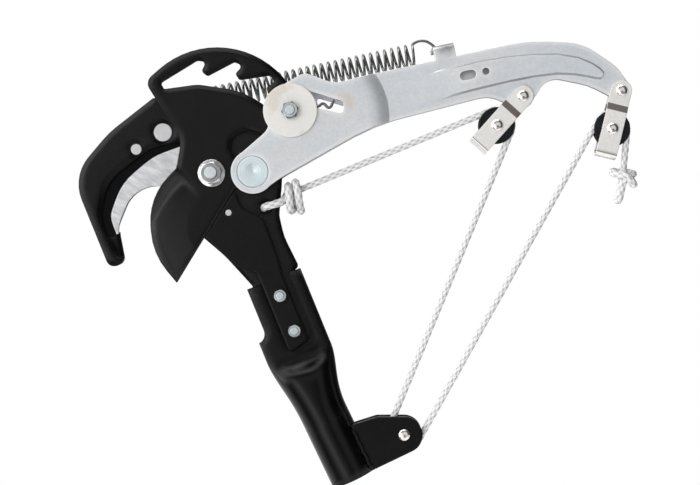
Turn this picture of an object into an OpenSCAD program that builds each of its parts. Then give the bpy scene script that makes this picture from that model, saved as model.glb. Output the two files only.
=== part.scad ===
// Pole-mounted ratchet pruner head: a hooked anvil frame, a swinging blade with
// ratchet notches, a two-plate lever with a tackle of three sheaves, and the pole socket.
// Millimetres. Z runs up the pole, X points to the lever's side, Y away from the viewer.
// The origin is the centre of the pole socket's mouth. Head outlines are drawn in the X-Z
// plane from the blade pivot, and slab() gives them their thickness along Y.

/* [Pole socket] */
// Outside diameter of the round socket tube
tube_d = 31.5; // [30:0.5:34]
// Wall of the socket tube
tube_wall = 2; // [1.5:0.1:2.5]
// Length of the round part of the tube
round_length = 42; // [30:1:50]
// Width of the flattened neck
neck_w = 44.6; // [42:0.2:48]
// Width of the cut-out in the neck's front wall
neck_slot_w = 18; // [16.5:0.1:19]
// Width left of the neck's trimmed side
left_flange_w = 10; // [6:0.5:12]
// Distance between the two neck bolts
neck_bolt_pitch = 25; // [22:0.5:30]
// Diameter of the neck bolts
neck_bolt_d = 5; // [4:0.5:5]

/* [Frame and blade] */
// Height of the blade pivot over the socket mouth
pivot_z = 222.5; // [218:0.5:230]
// Thickness of the hooked frame plate
frame_t = 6; // [5:0.2:7]
// Thickness of the blade and of the stop plate beside it
blade_t = 4; // [3:0.1:5]
// Gap between sliding plates
plate_gap = 0.2; // [0.15:0.05:0.4]
// Running clearance on a radius
run_gap = 0.08; // [0.05:0.01:0.1]
// Diameter of the blade's pivot bolt
blade_bolt_d = 8; // [6:0.5:9]
// Outside diameter of the bush in the blade
blade_bush_d = 13; // [12:0.5:15]
// Width of the ground bevel
bevel_w = 25; // [18:0.5:28]
// Thickness left at the cutting edge
edge_land = 0.3; // [0.2:0.05:0.6]
// Thickness of the counter blade's base
counter_t = 3; // [2:0.1:3.5]

/* [Ratchet] */
// Angle between two ratchet notches
notch_pitch = 19; // [17.5:0.25:20]
// Number of open notches before the one that holds the pawl
notch_count = 3; // [2:1:3]
// Room from the pawl sleeve down to the channel's floor
channel_room = 6; // [5:0.1:7]
// Height of the tooth tips over the channel's floor
tooth_h = 7.5; // [7.2:0.1:8]
// Depth of the notches from the tooth tips
notch_depth = 10.8; // [9.5:0.1:11]
// Diameter of the pawl sleeve
pawl_d = 7; // [6.5:0.1:7.2]
// Diameter of the pawl bolt
pawl_bolt_d = 6; // [5:0.2:6]
// Diameter of the pawl washers
pawl_washer_d = 35.5; // [30:0.5:37]
// Thickness of the pawl washers
pawl_washer_t = 2; // [1.5:0.1:2.5]
// Height of the pawl bolt's low head
pawl_head_h = 2.8; // [2:0.1:4]
// Travel of the pawl along the lever
pawl_travel = 13.5; // [10:0.5:14]

/* [Lever] */
// Distance along X from the blade pivot to the arm's outer swivel
lever_reach = 267.8; // [255:0.2:280]
// Thickness of each lever plate
lever_t = 2.5; // [2:0.1:3]
// Diameter of the lever pin's journals
journal_d = 20.8; // [18:0.2:22]
// Diameter of the lever pin's shoulder in the blade's plane
shoulder_d = 15; // [13:0.5:15.5]
// Diameter of the lever pin's shank
shank_d = 10; // [8:0.5:11]
// Height of the pressed rib on the arm
rib_h = 2.2; // [1:0.1:3]
// Diameter of the swivel rivets
swivel_d = 5; // [4:0.25:5.5]

/* [Tackle] */
// Diameter of the pull cord
cord_d = 4.5; // [4:0.1:4.8]
// Outside diameter of a sheave
sheave_d = 24; // [23:0.2:25]
// Width of a sheave
sheave_w = 8; // [7.4:0.1:8.4]
// Diameter at the bottom of a sheave's groove
groove_d = 16; // [15:0.2:16.4]
// Diameter of a sheave's axle
axle_d = 5; // [4:0.25:5.5]
// Width of the block straps
strap_w = 13.8; // [12:0.2:16]
// Thickness of the block straps
strap_t = 1.5; // [1.2:0.1:1.8]
// Distance from a block's swivel to its sheave
swivel_to_axle = 26; // [25:0.5:28]
// Distance from a block's swivel to its far end
swivel_to_end = 45.5; // [43:0.5:50]
// Thickness of the lower bracket's cheeks
bracket_t = 2.5; // [2:0.1:3]

/* [Return spring] */
// Wire diameter of the return spring
spring_wire = 1.6; // [1.2:0.1:1.8]
// Outside diameter of the return spring
spring_d = 16.6; // [14:0.2:17]
// Number of curls of the return spring
spring_curls = 31; // [26:1:33]

/* [Hidden] */
$fn = 64;
far = 400;
nudge = 0.01;
seat_gap = 0.05;
arc_step = 9;

// Levels along Y, from the frame plate's middle
frame_front = -frame_t / 2;
frame_back = frame_t / 2;
blade_back = frame_front - plate_gap;
blade_front = blade_back - blade_t;
lever_front_in = blade_front - plate_gap;
lever_rear_in = frame_back + plate_gap;
lever_front_out = lever_front_in - lever_t;
lever_rear_out = lever_rear_in + lever_t;
lever_mid = (lever_front_in + lever_rear_in) / 2;
arm_front = lever_mid - lever_t;
arm_back = lever_mid + lever_t;
spring_y = lever_rear_out + plate_gap / 2 + pawl_washer_t + pawl_head_h + spring_d / 2 + 0.8;

// Places in the X-Z plane, from the blade pivot
pivot_x = 2;
lever_at = [25, -11];
pawl_at = [64.6, 14.6];
pawl_way = unit(lever_at - pawl_at);
joggle_at = [75.6, 4];
joggle_r = 38;
joggle_run = 13;
// The arm is drawn for drawn_reach, and arm() stretches it from its root to the reach asked for
arm_root = [126, 13];
drawn_reach = 267.8;
inner_swivel_at = arm([207.6, -42.7]);
outer_swivel_at = [lever_reach, -67.6];
inner_block_turn = 67.2;
outer_block_turn = 39.3;
bracket_axle_at = [40, 12 - pivot_z];
cord_hole_at = [22.1, -35.1];
stop_rivet_at = [-1.2, -28.3];
counter_rivet_at = [[-17.7, 38.7], [-38.5, 36.2]];
counter_rivet_d = [11.8, 7];
neck_at = [6.7, -80.5];
neck_tilt = 3.4;
neck_length = 52;
neck_middle = -3.3;
bevel_at = [-8.5, -35];
bevel_r = 48.5;
post_at = [-3, 51];
tab_slope = 13.5;
tab_from_root = 48;
tab_at = arm([arm_root[0] + tab_from_root, arm_root[1] - tab_from_root * tan(tab_slope) + 6.72]);
spring_hole_at = tab_at + [-2, 0.8];

function unit(v) = v / norm(v);
function turn(p, a) = [p[0] * cos(a) + p[1] * sin(a), p[1] * cos(a) - p[0] * sin(a)];
function polar(r, a) = [r * cos(a), r * sin(a)];
function in_neck(p) = neck_at + turn(p, neck_tilt);
function xz(p) = [p[0], p[1]];
function arm(p) =
    [for (i = [0 : len(p) - 1])
        i > 0 ? p[i]
            : p[0] + (lever_reach - drawn_reach) * max(0, p[0] - arm_root[0]) / (drawn_reach - arm_root[0])];
function smooth(t) = t * t * (3 - 2 * t);

// A polygon from corners [x, z, radius]: each corner becomes an arc of its radius
function wrapped(a) = a > 180 ? a - 360 : a < -180 ? a + 360 : a;
function corner_arc(centre, r, a0, sweep, n) =
    [for (i = [0 : n]) centre + polar(r, a0 + sweep * i / n)];
function corner(before, p, after, r) =
    let (a = unit(before - p), b = unit(after - p), half = acos(a * b) / 2,
         centre = p + unit(a + b) * r / sin(half),
         from = p + a * r / tan(half) - centre, to = p + b * r / tan(half) - centre,
         a0 = atan2(from[1], from[0]), sweep = wrapped(atan2(to[1], to[0]) - a0))
    corner_arc(centre, r, a0, sweep, max(1, ceil(abs(sweep) / arc_step)));
function rounded(pts) =
    let (n = len(pts))
    [for (i = [0 : n - 1])
        let (p = pts[i])
        each (len(p) < 3 || p[2] == 0) ? [xz(p)]
            : corner(xz(pts[(i + n - 1) % n]), xz(p), xz(pts[(i + 1) % n]), p[2])];

// The same corners of a counter-clockwise outline, moved outwards by g
function grown(pts, g) =
    let (n = len(pts))
    [for (i = [0 : n - 1])
        let (p = xz(pts[i]), a = unit(p - xz(pts[(i + n - 1) % n])), b = unit(xz(pts[(i + 1) % n]) - p),
             na = turn(a, 90), nb = turn(b, 90))
        concat(p + (na + nb) * g / (1 + na * nb), len(pts[i]) < 3 ? 0 : pts[i][2])];

// A round tube along points in space, closed at both ends
function across(d) = unit(cross(d, abs(d[1]) < 0.9 ? [0, 1, 0] : [1, 0, 0]));
function tube_ring(p, d, r, sides) =
    let (u = across(d), v = cross(d, u))
    [for (k = [0 : sides - 1]) p + r * (cos(360 * k / sides) * u + sin(360 * k / sides) * v)];
function heading(pts, i) =
    unit(unit(pts[min(i + 1, len(pts) - 1)] - pts[i] + [0, 1e-9, 0])
        + unit(pts[i] - pts[max(i - 1, 0)] + [0, 1e-9, 0]));
function end_heading(pts, i) =
    i == 0 ? unit(pts[1] - pts[0])
        : i == len(pts) - 1 ? unit(pts[i] - pts[i - 1]) : heading(pts, i);
function side_faces(rings, sides) =
    [for (i = [0 : rings - 2], k = [0 : sides - 1])
        let (a = i * sides + k, b = i * sides + (k + 1) % sides)
        each [[a, a + sides, b], [b, a + sides, b + sides]]];
function loop_faces(rings, sides) =
    [for (i = [0 : rings - 1], k = [0 : sides - 1])
        let (a = i * sides + k, b = i * sides + (k + 1) % sides, c = (i + 1) % rings * sides)
        each [[a, c + k, b], [b, c + k, c + (k + 1) % sides]]];
function cap_fan(first, sides, flip) =
    [for (k = [1 : sides - 2])
        flip ? [first, first + k + 1, first + k] : [first, first + k, first + k + 1]];
module tube_along(pts, r, sides)
    polyhedron(
        [for (i = [0 : len(pts) - 1]) each tube_ring(pts[i], end_heading(pts, i), r, sides)],
        concat(side_faces(len(pts), sides), cap_fan(0, sides, false),
            cap_fan((len(pts) - 1) * sides, sides, true)));

// Placing: the head's outlines start at the blade pivot
module head() translate([pivot_x, 0, pivot_z]) children();
module slab(y0, y1) translate([0, y1, 0]) rotate([90, 0, 0]) linear_extrude(y1 - y0) children();
module plate(pts, y0, y1) slab(y0, y1) polygon(rounded(pts));
module rod(at, d, y0, y1)
    translate([at[0], y0, at[1]]) rotate([-90, 0, 0]) cylinder(d = d, h = y1 - y0);
module hex(at, flats, y0, y1, turned = 0)
    translate([at[0], y0, at[1]]) rotate([-90, turned, 0])
        cylinder(d = flats / cos(30), h = y1 - y0, $fn = 6);
// A turned piece along Y from [radius, y] pairs
module turned(at, profile)
    translate([at[0], 0, at[1]]) rotate([-90, 0, 0]) rotate_extrude() polygon(profile);
module slot_hole(a, b, d, y0, y1) {
    rod(a, d, y0, y1);
    rod(b, d, y0, y1);
    slab(y0, y1)
        let (side = turn(unit(b - a), 90) * d / 2)
        polygon([a + side, b + side, b - side, a - side]);
}

// Pole socket: a round tube pressed flat into a neck, one side trimmed
function stadium(a, b, n) =
    [for (k = [0 : n - 1])
        let (t = 360 * (k + 0.5) / n) [sign(cos(t)) * (a - b) + b * cos(t), b * sin(t)]];
neck_half_t = frame_t / 2 + seat_gap + tube_wall;
neck_foot = in_neck([neck_middle, -neck_length]) + [pivot_x, pivot_z];
loft_rings = 22;
loft_sides = 44;
press_from = 0.68;
shell_rings = loft_rings + 2;
lap = 1;
// Ring i of the shell: the first laps into the round tube, the last is the neck's top, and the
// others blend from round to flat
function shell_ring(i, inset) =
    let (t = max(0, min(1, (i - 1) / (loft_rings - 1))), s = pow(smooth(t), 1.5),
         pressed = smooth(max(0, t - press_from) / (1 - press_from)), rise = i > loft_rings ? neck_length : 0,
         a = (tube_d + (neck_w - tube_d) * s) / 2 - inset,
         b = tube_d / 2 + (neck_half_t - tube_d / 2) * pressed - inset,
         x = neck_foot[0] * s + rise * sin(neck_tilt),
         z = round_length - (i == 0 ? lap : 0) + (neck_foot[1] - round_length) * t + rise * cos(neck_tilt))
    [for (p = stadium(a, min(b, a - nudge), loft_sides))
        let (q = turn([p[0], 0], neck_tilt * t)) [x + q[0], p[1], z + q[1]]];
function outer_inset(i) = i == 0 ? 0.6 : seat_gap;
function inner_inset(i) = i == 0 ? tube_wall - 0.6 : i == 1 ? tube_wall - seat_gap : tube_wall;
// One closed shell: its outer rings upwards, then its inner rings downwards
module neck_shell()
    polyhedron(
        [for (i = [0 : 2 * shell_rings - 1])
            let (up = i < shell_rings, k = up ? i : 2 * shell_rings - 1 - i)
            each shell_ring(k, up ? outer_inset(k) : inner_inset(k))],
        loop_faces(2 * shell_rings, loft_sides));
module neck() head() translate([neck_at[0], 0, neck_at[1]]) rotate([0, neck_tilt, 0]) children();
function slot_foot(x) = 4.5 - neck_length + 0.28 * x;
flange_edge = -neck_slot_w / 2 - left_flange_w;
neck_bolt_foot = 15;
neck_bolt_z = [neck_bolt_foot + neck_bolt_pitch - neck_length, neck_bolt_foot - neck_length];
module socket_tube() color("#17181a") {
    difference() {
        cylinder(d = tube_d, h = round_length);
        translate([0, 0, -1]) cylinder(d = tube_d - 2 * tube_wall, h = round_length + 2);
    }
    difference() {
        neck_shell();
        neck() {
            // Front wall open for the stop plate's tongue
            slab(-far, -frame_t / 2)
                polygon(rounded([[-neck_slot_w / 2, far], [-neck_slot_w / 2, slot_foot(-neck_slot_w / 2), 3],
                    [neck_slot_w / 2, slot_foot(neck_slot_w / 2), 3], [neck_slot_w / 2, far]]));
            // Left side trimmed with a round foot
            slab(-far, far)
                polygon(rounded([[flange_edge, 1], [flange_edge, -neck_length + 16, 7],
                    [-far, -neck_length + 12], [-far, 1]]));
            for (z = neck_bolt_z) rod([0, z], neck_bolt_d + 2 * run_gap, -far, far);
        }
    }
}

// Lower bracket, welded to the tube, with its sheave
bracket_end_r = 12;
bracket_gap = sheave_w / 2 + 0.5;
module cheek_outline()
    polygon(rounded([[0, 0, 1], [0, 34.6, 1], [31 - pivot_x, 30.5, 5],
        [bracket_axle_at[0] + bracket_end_r, 19.6, bracket_end_r - 0.4],
        [bracket_axle_at[0] + bracket_end_r, 0, bracket_end_r - 0.4]]));
module cord_bracket() color("#17181a")
    difference() {
        translate([pivot_x, lever_mid, 0]) difference() {
            union() {
                for (side = [-1, 1])
                    slab(side * (bracket_gap + bracket_t / 2) - bracket_t / 2,
                        side * (bracket_gap + bracket_t / 2) + bracket_t / 2) cheek_outline();
                translate([0, -bracket_gap - nudge, 1])
                    cube([17, 2 * bracket_gap + 2 * nudge, 29]);
            }
            rod([bracket_axle_at[0], 12], axle_d + 2 * run_gap, -far, far);
        }
        translate([0, 0, -1]) cylinder(d = tube_d + 2 * seat_gap, h = far);
    }
// A riveted axle with a domed head at both ends
module domed_rivet(at, d, middle, half, head_d, head_h)
    turned(at, concat([[0, middle - half - head_h]],
        [for (a = [30 : 15 : 90]) [head_d / 2 * sin(a), middle - half - head_h * cos(a)]],
        [[d / 2, middle - half], [d / 2, middle + half]],
        [for (a = [90 : -15 : 30]) [head_d / 2 * sin(a), middle + half + head_h * cos(a)]],
        [[0, middle + half + head_h]]));
module bracket_axle() color("silver") head()
    domed_rivet(bracket_axle_at, axle_d, lever_mid, bracket_gap + bracket_t + seat_gap, 8, 2.2);
module sheave(at) {
    r = groove_d / 2;
    hollow = cord_d / 2 + 0.3;
    turned(at, concat(
        [[axle_d / 2 + run_gap, lever_mid - sheave_w / 2], [sheave_d / 2 - 0.6, lever_mid - sheave_w / 2],
            [sheave_d / 2, lever_mid - sheave_w / 2 + 0.6],
            [sheave_d / 2, lever_mid - hollow - 0.6]],
        [for (a = [-75 : 15 : 75])
            [r + hollow - hollow * cos(a), lever_mid + hollow * sin(a)]],
        [[sheave_d / 2, lever_mid + hollow + 0.6], [sheave_d / 2, lever_mid + sheave_w / 2 - 0.6],
            [sheave_d / 2 - 0.6, lever_mid + sheave_w / 2], [axle_d / 2 + run_gap, lever_mid + sheave_w / 2]]));
}
module lower_sheave() color("#202124") head() sheave(bracket_axle_at);

// Hooked frame plate
hook_inner = [[-77.6, -27.8, 5], [-71.7, -5, 22], [-51, 14.2, 22], [-29, 5.2, 10]];
hook_outline = concat(
    [[-14, 62], [-50, 54, 60], [-84.6, 38.4, 28], [-88.6, -27.8, 5.2]], hook_inner,
    [[-22, -20, 20], [-23.5, -36, 3], [-16, -53, 40], [-12, -66, 40]],
    [concat(in_neck([-15, 1]), 4), concat(in_neck([-15, -neck_length + 3]), 2),
        concat(in_neck([15, -neck_length + 3]), 2), concat(in_neck([15, 0]), 1),
        concat(in_neck([18.4, 1.4]), 3)],
    [[24.8, -58, 40], [28, -44, 12], [38, -27, 14], [46, -12, 18], [44, 22, 14], [12, 53, 30]]);
// The step that runs along the hook's inner side
band_outline = [[-8, 28], [-30, 33.5, 40], [-66, 25, 30], [-82, 3, 30], [-80.5, -21, 12], [-79.5, -24],
    [-60, -24], [-45, 2], [-33, 2], [-28, 3], [-8, 11]];
counter_rim = [[-9, 46, 4], [-40, 43, 20], [-66, 31, 24], [-82, 8, 22], [-82, -8, 3]];
counter_cut = [[-71.5, -4.5, 20], [-51, 14.2, 22], [-29, 5.2, 10], [-9, 14, 4]];
counter_base = concat(counter_rim, [[-74, -8.5, 1]], counter_cut);
counter_pocket = grown(concat(counter_rim, [[-60, -8.5], [-45, 2], [-33, 2], [-28, 3], [-9, 12, 4]]), 2 * seat_gap);
counter_edge = concat([[-9, 25, 2], [-30, 27, 40], [-57, 20, 40], [-73.4, 3.6, 14], [-74.5, -9], [-73, -9]], counter_cut);
counter_face = frame_back - counter_t;
module hook_frame() color("#141517") head() difference() {
    plate(hook_outline, frame_front, frame_back);
    plate(band_outline, frame_front - 1, counter_face - seat_gap);
    plate(counter_pocket, counter_face - seat_gap, far);
    for (i = [0 : 1])
        rod(counter_rivet_at[i], counter_rivet_d[i] + 2 * run_gap, -far, far);
    rod([0, 0], blade_bolt_d + 2 * run_gap, -far, far);
    rod(lever_at, shank_d + 2 * run_gap, -far, far);
    rod(stop_rivet_at, 4 + 2 * run_gap, -far, far);
    rod(post_at, 5 + 2 * run_gap, -far, far);
    slot_hole(cord_hole_at - [0.8, 0], cord_hole_at + [0.8, 0], cord_d + 0.9, -far, far);
    for (z = neck_bolt_z) rod(in_neck([0, z]), neck_bolt_d + 2 * run_gap, -far, far);
}
module counter_blade() color("#b9bcc0") head() difference() {
    union() {
        plate(counter_base, counter_face, frame_back);
        plate(counter_edge, frame_front + seat_gap, counter_face + nudge);
    }
    for (i = [0 : 1])
        rod(counter_rivet_at[i], counter_rivet_d[i] + 2 * run_gap, -far, far);
}
module counter_rivets() color("silver") head()
    for (i = [0 : 1])
        turned(counter_rivet_at[i],
            let (r = counter_rivet_d[i] / 2)
            [[0, frame_front - plate_gap / 2], [r, frame_front - plate_gap / 2], [r, frame_back + 0.6],
                [r - 0.8, frame_back + 1.2], [0, frame_back + 1.2]]);

// Stop plate: the blade rests on it when open, and its tongue lies in the neck's cut-out
tongue_w = neck_slot_w - 3.5;
tongue_right = tongue_w / 2 - 1.2;
tongue_left = -tongue_w / 2 - 1.2;
stop_outline = concat([[-22.2, -36.2, 1.5], [8.6, -16.6, 1.5], [7.5, -29, 8], [17.6, -41, 10]],
    [concat(in_neck([tongue_right + 1.7, 12]), 40), in_neck([tongue_right, 0]),
        concat(in_neck([tongue_right, slot_foot(tongue_right) + 0.4]), 2.6),
        concat(in_neck([tongue_left, slot_foot(tongue_left) + 0.4]), 2.6),
        concat(in_neck([tongue_left, 8]), 6)],
    [[-11.5, -63.5, 6], [-16.5, -51, 40]]);
module stop_plate() color("#1b1c1e") head() difference() {
    plate(stop_outline, blade_front + plate_gap, frame_front);
    rod(stop_rivet_at, 4 + 2 * run_gap, -far, far);
    for (z = neck_bolt_z) rod(in_neck([0, z]), neck_bolt_d + 2 * run_gap, -far, far);
}
module stop_rivet() color("silver") head()
    rod(stop_rivet_at, 4, blade_front + plate_gap / 2, frame_back + 0.3);
module neck_bolts() color("silver") head()
    for (z = neck_bolt_z) {
        rod(in_neck([0, z]), neck_bolt_d, blade_front - 5.2, neck_half_t);
        turned(in_neck([0, z]), [[0, neck_half_t], [4.4, neck_half_t], [4.4, neck_half_t + 0.6],
            [3.4, neck_half_t + 2], [0, neck_half_t + 2.7]]);
    }
module neck_nuts() color("silver") head()
    for (z = neck_bolt_z) difference() {
        intersection() {
            hex(in_neck([0, z]), 8, blade_front + plate_gap - 4.2, blade_front + plate_gap, neck_tilt);
            turned(in_neck([0, z]), [[0, blade_front + plate_gap - 4.2], [3.9, blade_front + plate_gap - 4.2],
                [4.7, blade_front + plate_gap - 3.7], [4.7, blade_front + plate_gap], [0, blade_front + plate_gap]]);
        }
        rod(in_neck([0, z]), neck_bolt_d + 2 * run_gap, -far, far);
    }
module spring_post() color("silver") head()
    turned(post_at, [[0, frame_front], [2.5, frame_front], [2.5, frame_back], [4, frame_back],
        [4, spring_y - 2.4], [2.4, spring_y - 1.4], [2.4, spring_y + 1.4], [4, spring_y + 2.4],
        [4, spring_y + 4], [3, spring_y + 5], [0, spring_y + 5]]);

// Blade with its ratchet channel
pawl_angle = atan2(pawl_at[1], pawl_at[0]);
pawl_r = norm(pawl_at);
pocket_r = pawl_r + pawl_d / 2 + 0.6;
channel_r = pawl_r - pawl_d / 2 - channel_room;
tooth_r = channel_r + tooth_h;
notch_r = tooth_r + notch_depth;
channel_end = 94;
function corner_at(r, a, round) = concat(polar(r, a), round);
function notch(a) = [corner_at(notch_r, a + 2.2, 2.5), corner_at(notch_r - 1, a - 2.6, 2.4),
    corner_at(tooth_r + 3.2, a + 0.4, 2.2), corner_at(tooth_r, a - 2.8, 2)];
channel_outline = concat(
    [corner_at(pawl_r - 2.4, channel_end, 1.8), corner_at(pawl_r + 2.4, channel_end, 1.8)],
    [for (i = [notch_count : -1 : 1]) each notch(pawl_angle + i * notch_pitch)],
    [corner_at(pocket_r, pawl_angle + 4.2, 2), corner_at(pocket_r, pawl_angle - 4.4, 3),
        corner_at(channel_r, pawl_angle - 4.4, 3)],
    [for (a = [pawl_angle + 4 : 6 : 58]) polar(channel_r, a)],
    [corner_at(channel_r + 2.6, channel_end - 20.6, 20)]);
crown_at = [14.1, 21.1];
crown_r = 58;
blade_hub_r = 18.2;
blade_outline = concat(
    [for (a = [4 : 6 : 106]) crown_at + polar(crown_r, a)],
    [[-13.6, 73.5, 6.5], [-11.5, 54, 40], [-7.5, 30, 18], [-19, 13.8, 6], [-45, 4, 42], [-58.6, -31, 46],
        [-52.4, -55.4, 0.5], [8.4, -15.9]],
    [for (a = [-55 : 7 : 5]) polar(blade_hub_r, a)],
    [[17.4, 8, 5], [22, 15.6, 6], [32, 16, 7], [40, 8, 4], [58, 1.5, 8], [75, 5.5, 6]]);
bevel_zone = [[-22, 20], [-19.4, 13.8], [-15.8, -1], [-14.6, -10], [-14.6, -14], [far, -far], [-far, -far], [-far, 20]];
module blade() color("#151618") head() difference() {
    plate(blade_outline, blade_front, blade_back);
    plate(channel_outline, -far, far);
    rod([0, 0], blade_bush_d + 2 * run_gap, -far, far);
    // The grind is a cone about bevel_at, deepest at the cutting edge
    intersection() {
        slab(blade_front - 1, blade_back - edge_land) polygon(bevel_zone);
        difference() {
            rod(bevel_at, 4 * bevel_r, blade_front - 1, blade_back - edge_land);
            turned(bevel_at, [[0, blade_front - 1], [bevel_r - bevel_w, blade_front - 1],
                [bevel_r - bevel_w, blade_front], [bevel_r, blade_back - edge_land], [0, blade_back - edge_land]]);
        }
    }
}
module blade_bush() color("silver") head() difference() {
    rod([0, 0], blade_bush_d, blade_front - plate_gap / 2, frame_front);
    rod([0, 0], blade_bolt_d + 2 * run_gap, -far, far);
}
nut_seat = blade_front - plate_gap / 2;
module blade_bolt() color("silver") head() {
    rod([0, 0], blade_bolt_d, nut_seat - 9.4, frame_back);
    intersection() {
        hex([0, 0], 13, frame_back, frame_back + 5.3);
        turned([0, 0], [[0, frame_back], [7.6, frame_back], [7.6, frame_back + 4.5], [6.3, frame_back + 5.3],
            [0, frame_back + 5.3]]);
    }
}
module blade_flange_nut() color("silver") head() difference() {
    union() {
        turned([0, 0], [[0, nut_seat - 2.6], [6, nut_seat - 2.6], [9, nut_seat - 1.2], [9, nut_seat], [0, nut_seat]]);
        intersection() {
            hex([0, 0], 13, nut_seat - 8, nut_seat - 1, 8);
            turned([0, 0], [[0, nut_seat - 8], [6.3, nut_seat - 8], [7.6, nut_seat - 7.2], [7.6, nut_seat - 1],
                [0, nut_seat - 1]]);
        }
    }
    rod([0, 0], blade_bolt_d + 2 * run_gap, -far, far);
}

// Lever pin: a journal in each lever plate, a shoulder in the blade's plane, a shank in the frame
module lever_pin() color("#c9ccd0") head()
    turned(lever_at, let (j = journal_d / 2, f = lever_front_out)
        [[0, f + 0.9], [2.5, f + 0.3], [6, f - 0.2], [j - 0.6, f - 0.2], [j, f + 0.4], [j, lever_front_in],
            [shoulder_d / 2, lever_front_in], [shoulder_d / 2, frame_front], [shank_d / 2, frame_front],
            [shank_d / 2, lever_rear_out + 0.3], [0, lever_rear_out + 0.3]]);
module lever_pin_collar() color("#c9ccd0") head()
    turned(lever_at, let (j = journal_d / 2)
        [[shank_d / 2 + run_gap / 2, frame_back], [j, frame_back], [j, lever_rear_out - 0.4],
            [j - 0.6, lever_rear_out + 0.2], [shank_d / 2 + run_gap / 2, lever_rear_out + 0.2]]);

// Lever: two joggled plates that meet on the arm, each with a pressed rib
boss_r = 14.5;
lobe_r = 6.5;
lever_outline = concat(
    [[lever_at[0] - 1, lever_at[1] + boss_r], [46, 9.5, 14], [62, 31.4, 9], [84, 33.4, 9], [98.5, 18, 20],
        concat(arm_root, 60)],
    [for (p = [[182, -0.5, 200], [226, -11, 90], [258, -28, 36], [272, -52, 24]]) arm(p)],
    [[outer_swivel_at[0] + lobe_r + 0.6, outer_swivel_at[1] - 1, 5], [outer_swivel_at[0] - 2, outer_swivel_at[1] - 8, 5.5],
        arm([250, -55, 40]), arm([228, -38.5, 13])],
    [[inner_swivel_at[0] + 6.2, inner_swivel_at[1] - 4.5, 5], [inner_swivel_at[0] + 0.5, inner_swivel_at[1] - 8.6, 5.5],
        [inner_swivel_at[0] - 8, inner_swivel_at[1] - 4.5, 5.5],
        arm([188, -33, 20]), [110, -17.6, 120], [40, -22.5, 60], [lever_at[0] - 1, lever_at[1] - boss_r]]);
// Stations of the rib: [x, z, half width, share of its height]
rib_stations = [for (p = [[136, -7.2, 8.6, 0.02], [144, -8.8, 8.8, 0.07], [152, -10.4, 8.7, 0.2], [160, -12, 8.4, 0.4],
    [168, -13.7, 8.2, 0.64], [176, -15.4, 8, 0.86], [184, -17, 8, 0.98], [192, -18.8, 7.9, 1],
    [207, -22.6, 7.4, 1], [223, -27.7, 6.6, 1], [237, -33.3, 5.8, 1], [248, -40, 5, 1], [255, -46.4, 3.9, 1],
    [259, -51, 2.7, 1], [260.8, -53.4, 1.3, 1]]) arm(p)];
rib_slope = 1.3;
function rib_ring(i, inset, base) =
    let (s = rib_stations, p = s[i], a = xz(s[max(i - 1, 0)]), b = xz(s[min(i + 1, len(s) - 1)]),
         side = turn(unit(b - a), 90), w = p[2] - inset, foot = w + rib_slope, h = rib_h * p[3])
    [for (q = [[-foot, base + 0.5], [-foot, base], [-w, base - h], [w, base - h], [foot, base], [foot, base + 0.5]])
        [p[0] + side[0] * q[0], q[1], p[1] + side[1] * q[0]]];
module rib(inset, base)
    polyhedron(
        [for (i = [0 : len(rib_stations) - 1]) each rib_ring(i, inset, base)],
        concat(side_faces(len(rib_stations), 6), cap_fan(0, 6, false),
            cap_fan((len(rib_stations) - 1) * 6, 6, true)));
module lever_holes() {
    rod(lever_at, journal_d + 2 * run_gap, -far, far);
    rod(inner_swivel_at, swivel_d + 2 * run_gap, -far, far);
    rod(outer_swivel_at, swivel_d + 2 * run_gap, -far, far);
    // Way of the pawl
    slot_hole(pawl_at, pawl_at + pawl_way * pawl_travel, pawl_d + 0.8, -far, far);
}
module front_windows() {
    // Window that opens from the pawl's way
    plate([[pawl_at[0] - 1, pawl_at[1] + 1], [73, 28.5, 3], [99, 4.8, 2.4], [95, -2.2, 2], [80, 9.5, 2],
        [pawl_at[0] + 3, pawl_at[1]]], -far, far);
    // Locating slot and hole on the arm
    slot_hole(arm([178.5, -14.2]), arm([183, -15.2]), 6, -far, far);
    rod(arm([192.5, -17.6]), 4.6, -far, far);
}
// The joggle starts in a soft bend and ends in a sharp one
function joggle_fall(t) = (lever_mid - lever_front_in) * pow(t, 2);
module lever_sheet() difference() {
    union() {
        intersection() {
            plate(lever_outline, lever_front_out, lever_front_in);
            translate([joggle_at[0] - far, -far, -far]) cube([far, 2 * far, 2 * far]);
        }
        rod(lever_at, 2 * boss_r, lever_front_out, lever_front_in);
        intersection() {
            plate(lever_outline, lever_front_out - 1, lever_mid + 1);
            turned(joggle_at, concat([[0, lever_front_out]],
                [for (t = [0 : 0.2 : 1]) [joggle_r + joggle_run * t, lever_front_out + joggle_fall(t)]],
                [[far, arm_front], [far, lever_mid]],
                [for (t = [1 : -0.2 : 0]) [joggle_r + joggle_run * t, lever_front_in + joggle_fall(t)]],
                [[0, lever_front_in]]));
            translate([joggle_at[0] - nudge, -far, -far]) cube([far, 2 * far, 2 * far]);
        }
        rib(0, arm_front);
    }
    rib(1.2, lever_mid);
    lever_holes();
}
tab_w = 14;
tab_t = 2.5;
tab_reach = spring_y + 5;
module spring_tab()
    translate([tab_at[0], 0, tab_at[1]]) rotate([0, tab_slope, 0]) translate([-tab_w / 2, 0, 0])
        rotate([90, 0, 90]) linear_extrude(tab_w)
            polygon(rounded([[arm_front, -8], [arm_front, 3, 4], [tab_reach, 3], [tab_reach, 3 - tab_t],
                [arm_front + tab_t, 3 - tab_t, 1.5], [arm_front + tab_t, -8]]));
module lever_front_plate() color("#c4c8cc") head() difference() {
    union() {
        lever_sheet();
        spring_tab();
    }
    front_windows();
    translate([spring_hole_at[0], spring_y, 0]) cylinder(d = 3 * spring_wire, h = 40, $fn = 32);
}
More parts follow.
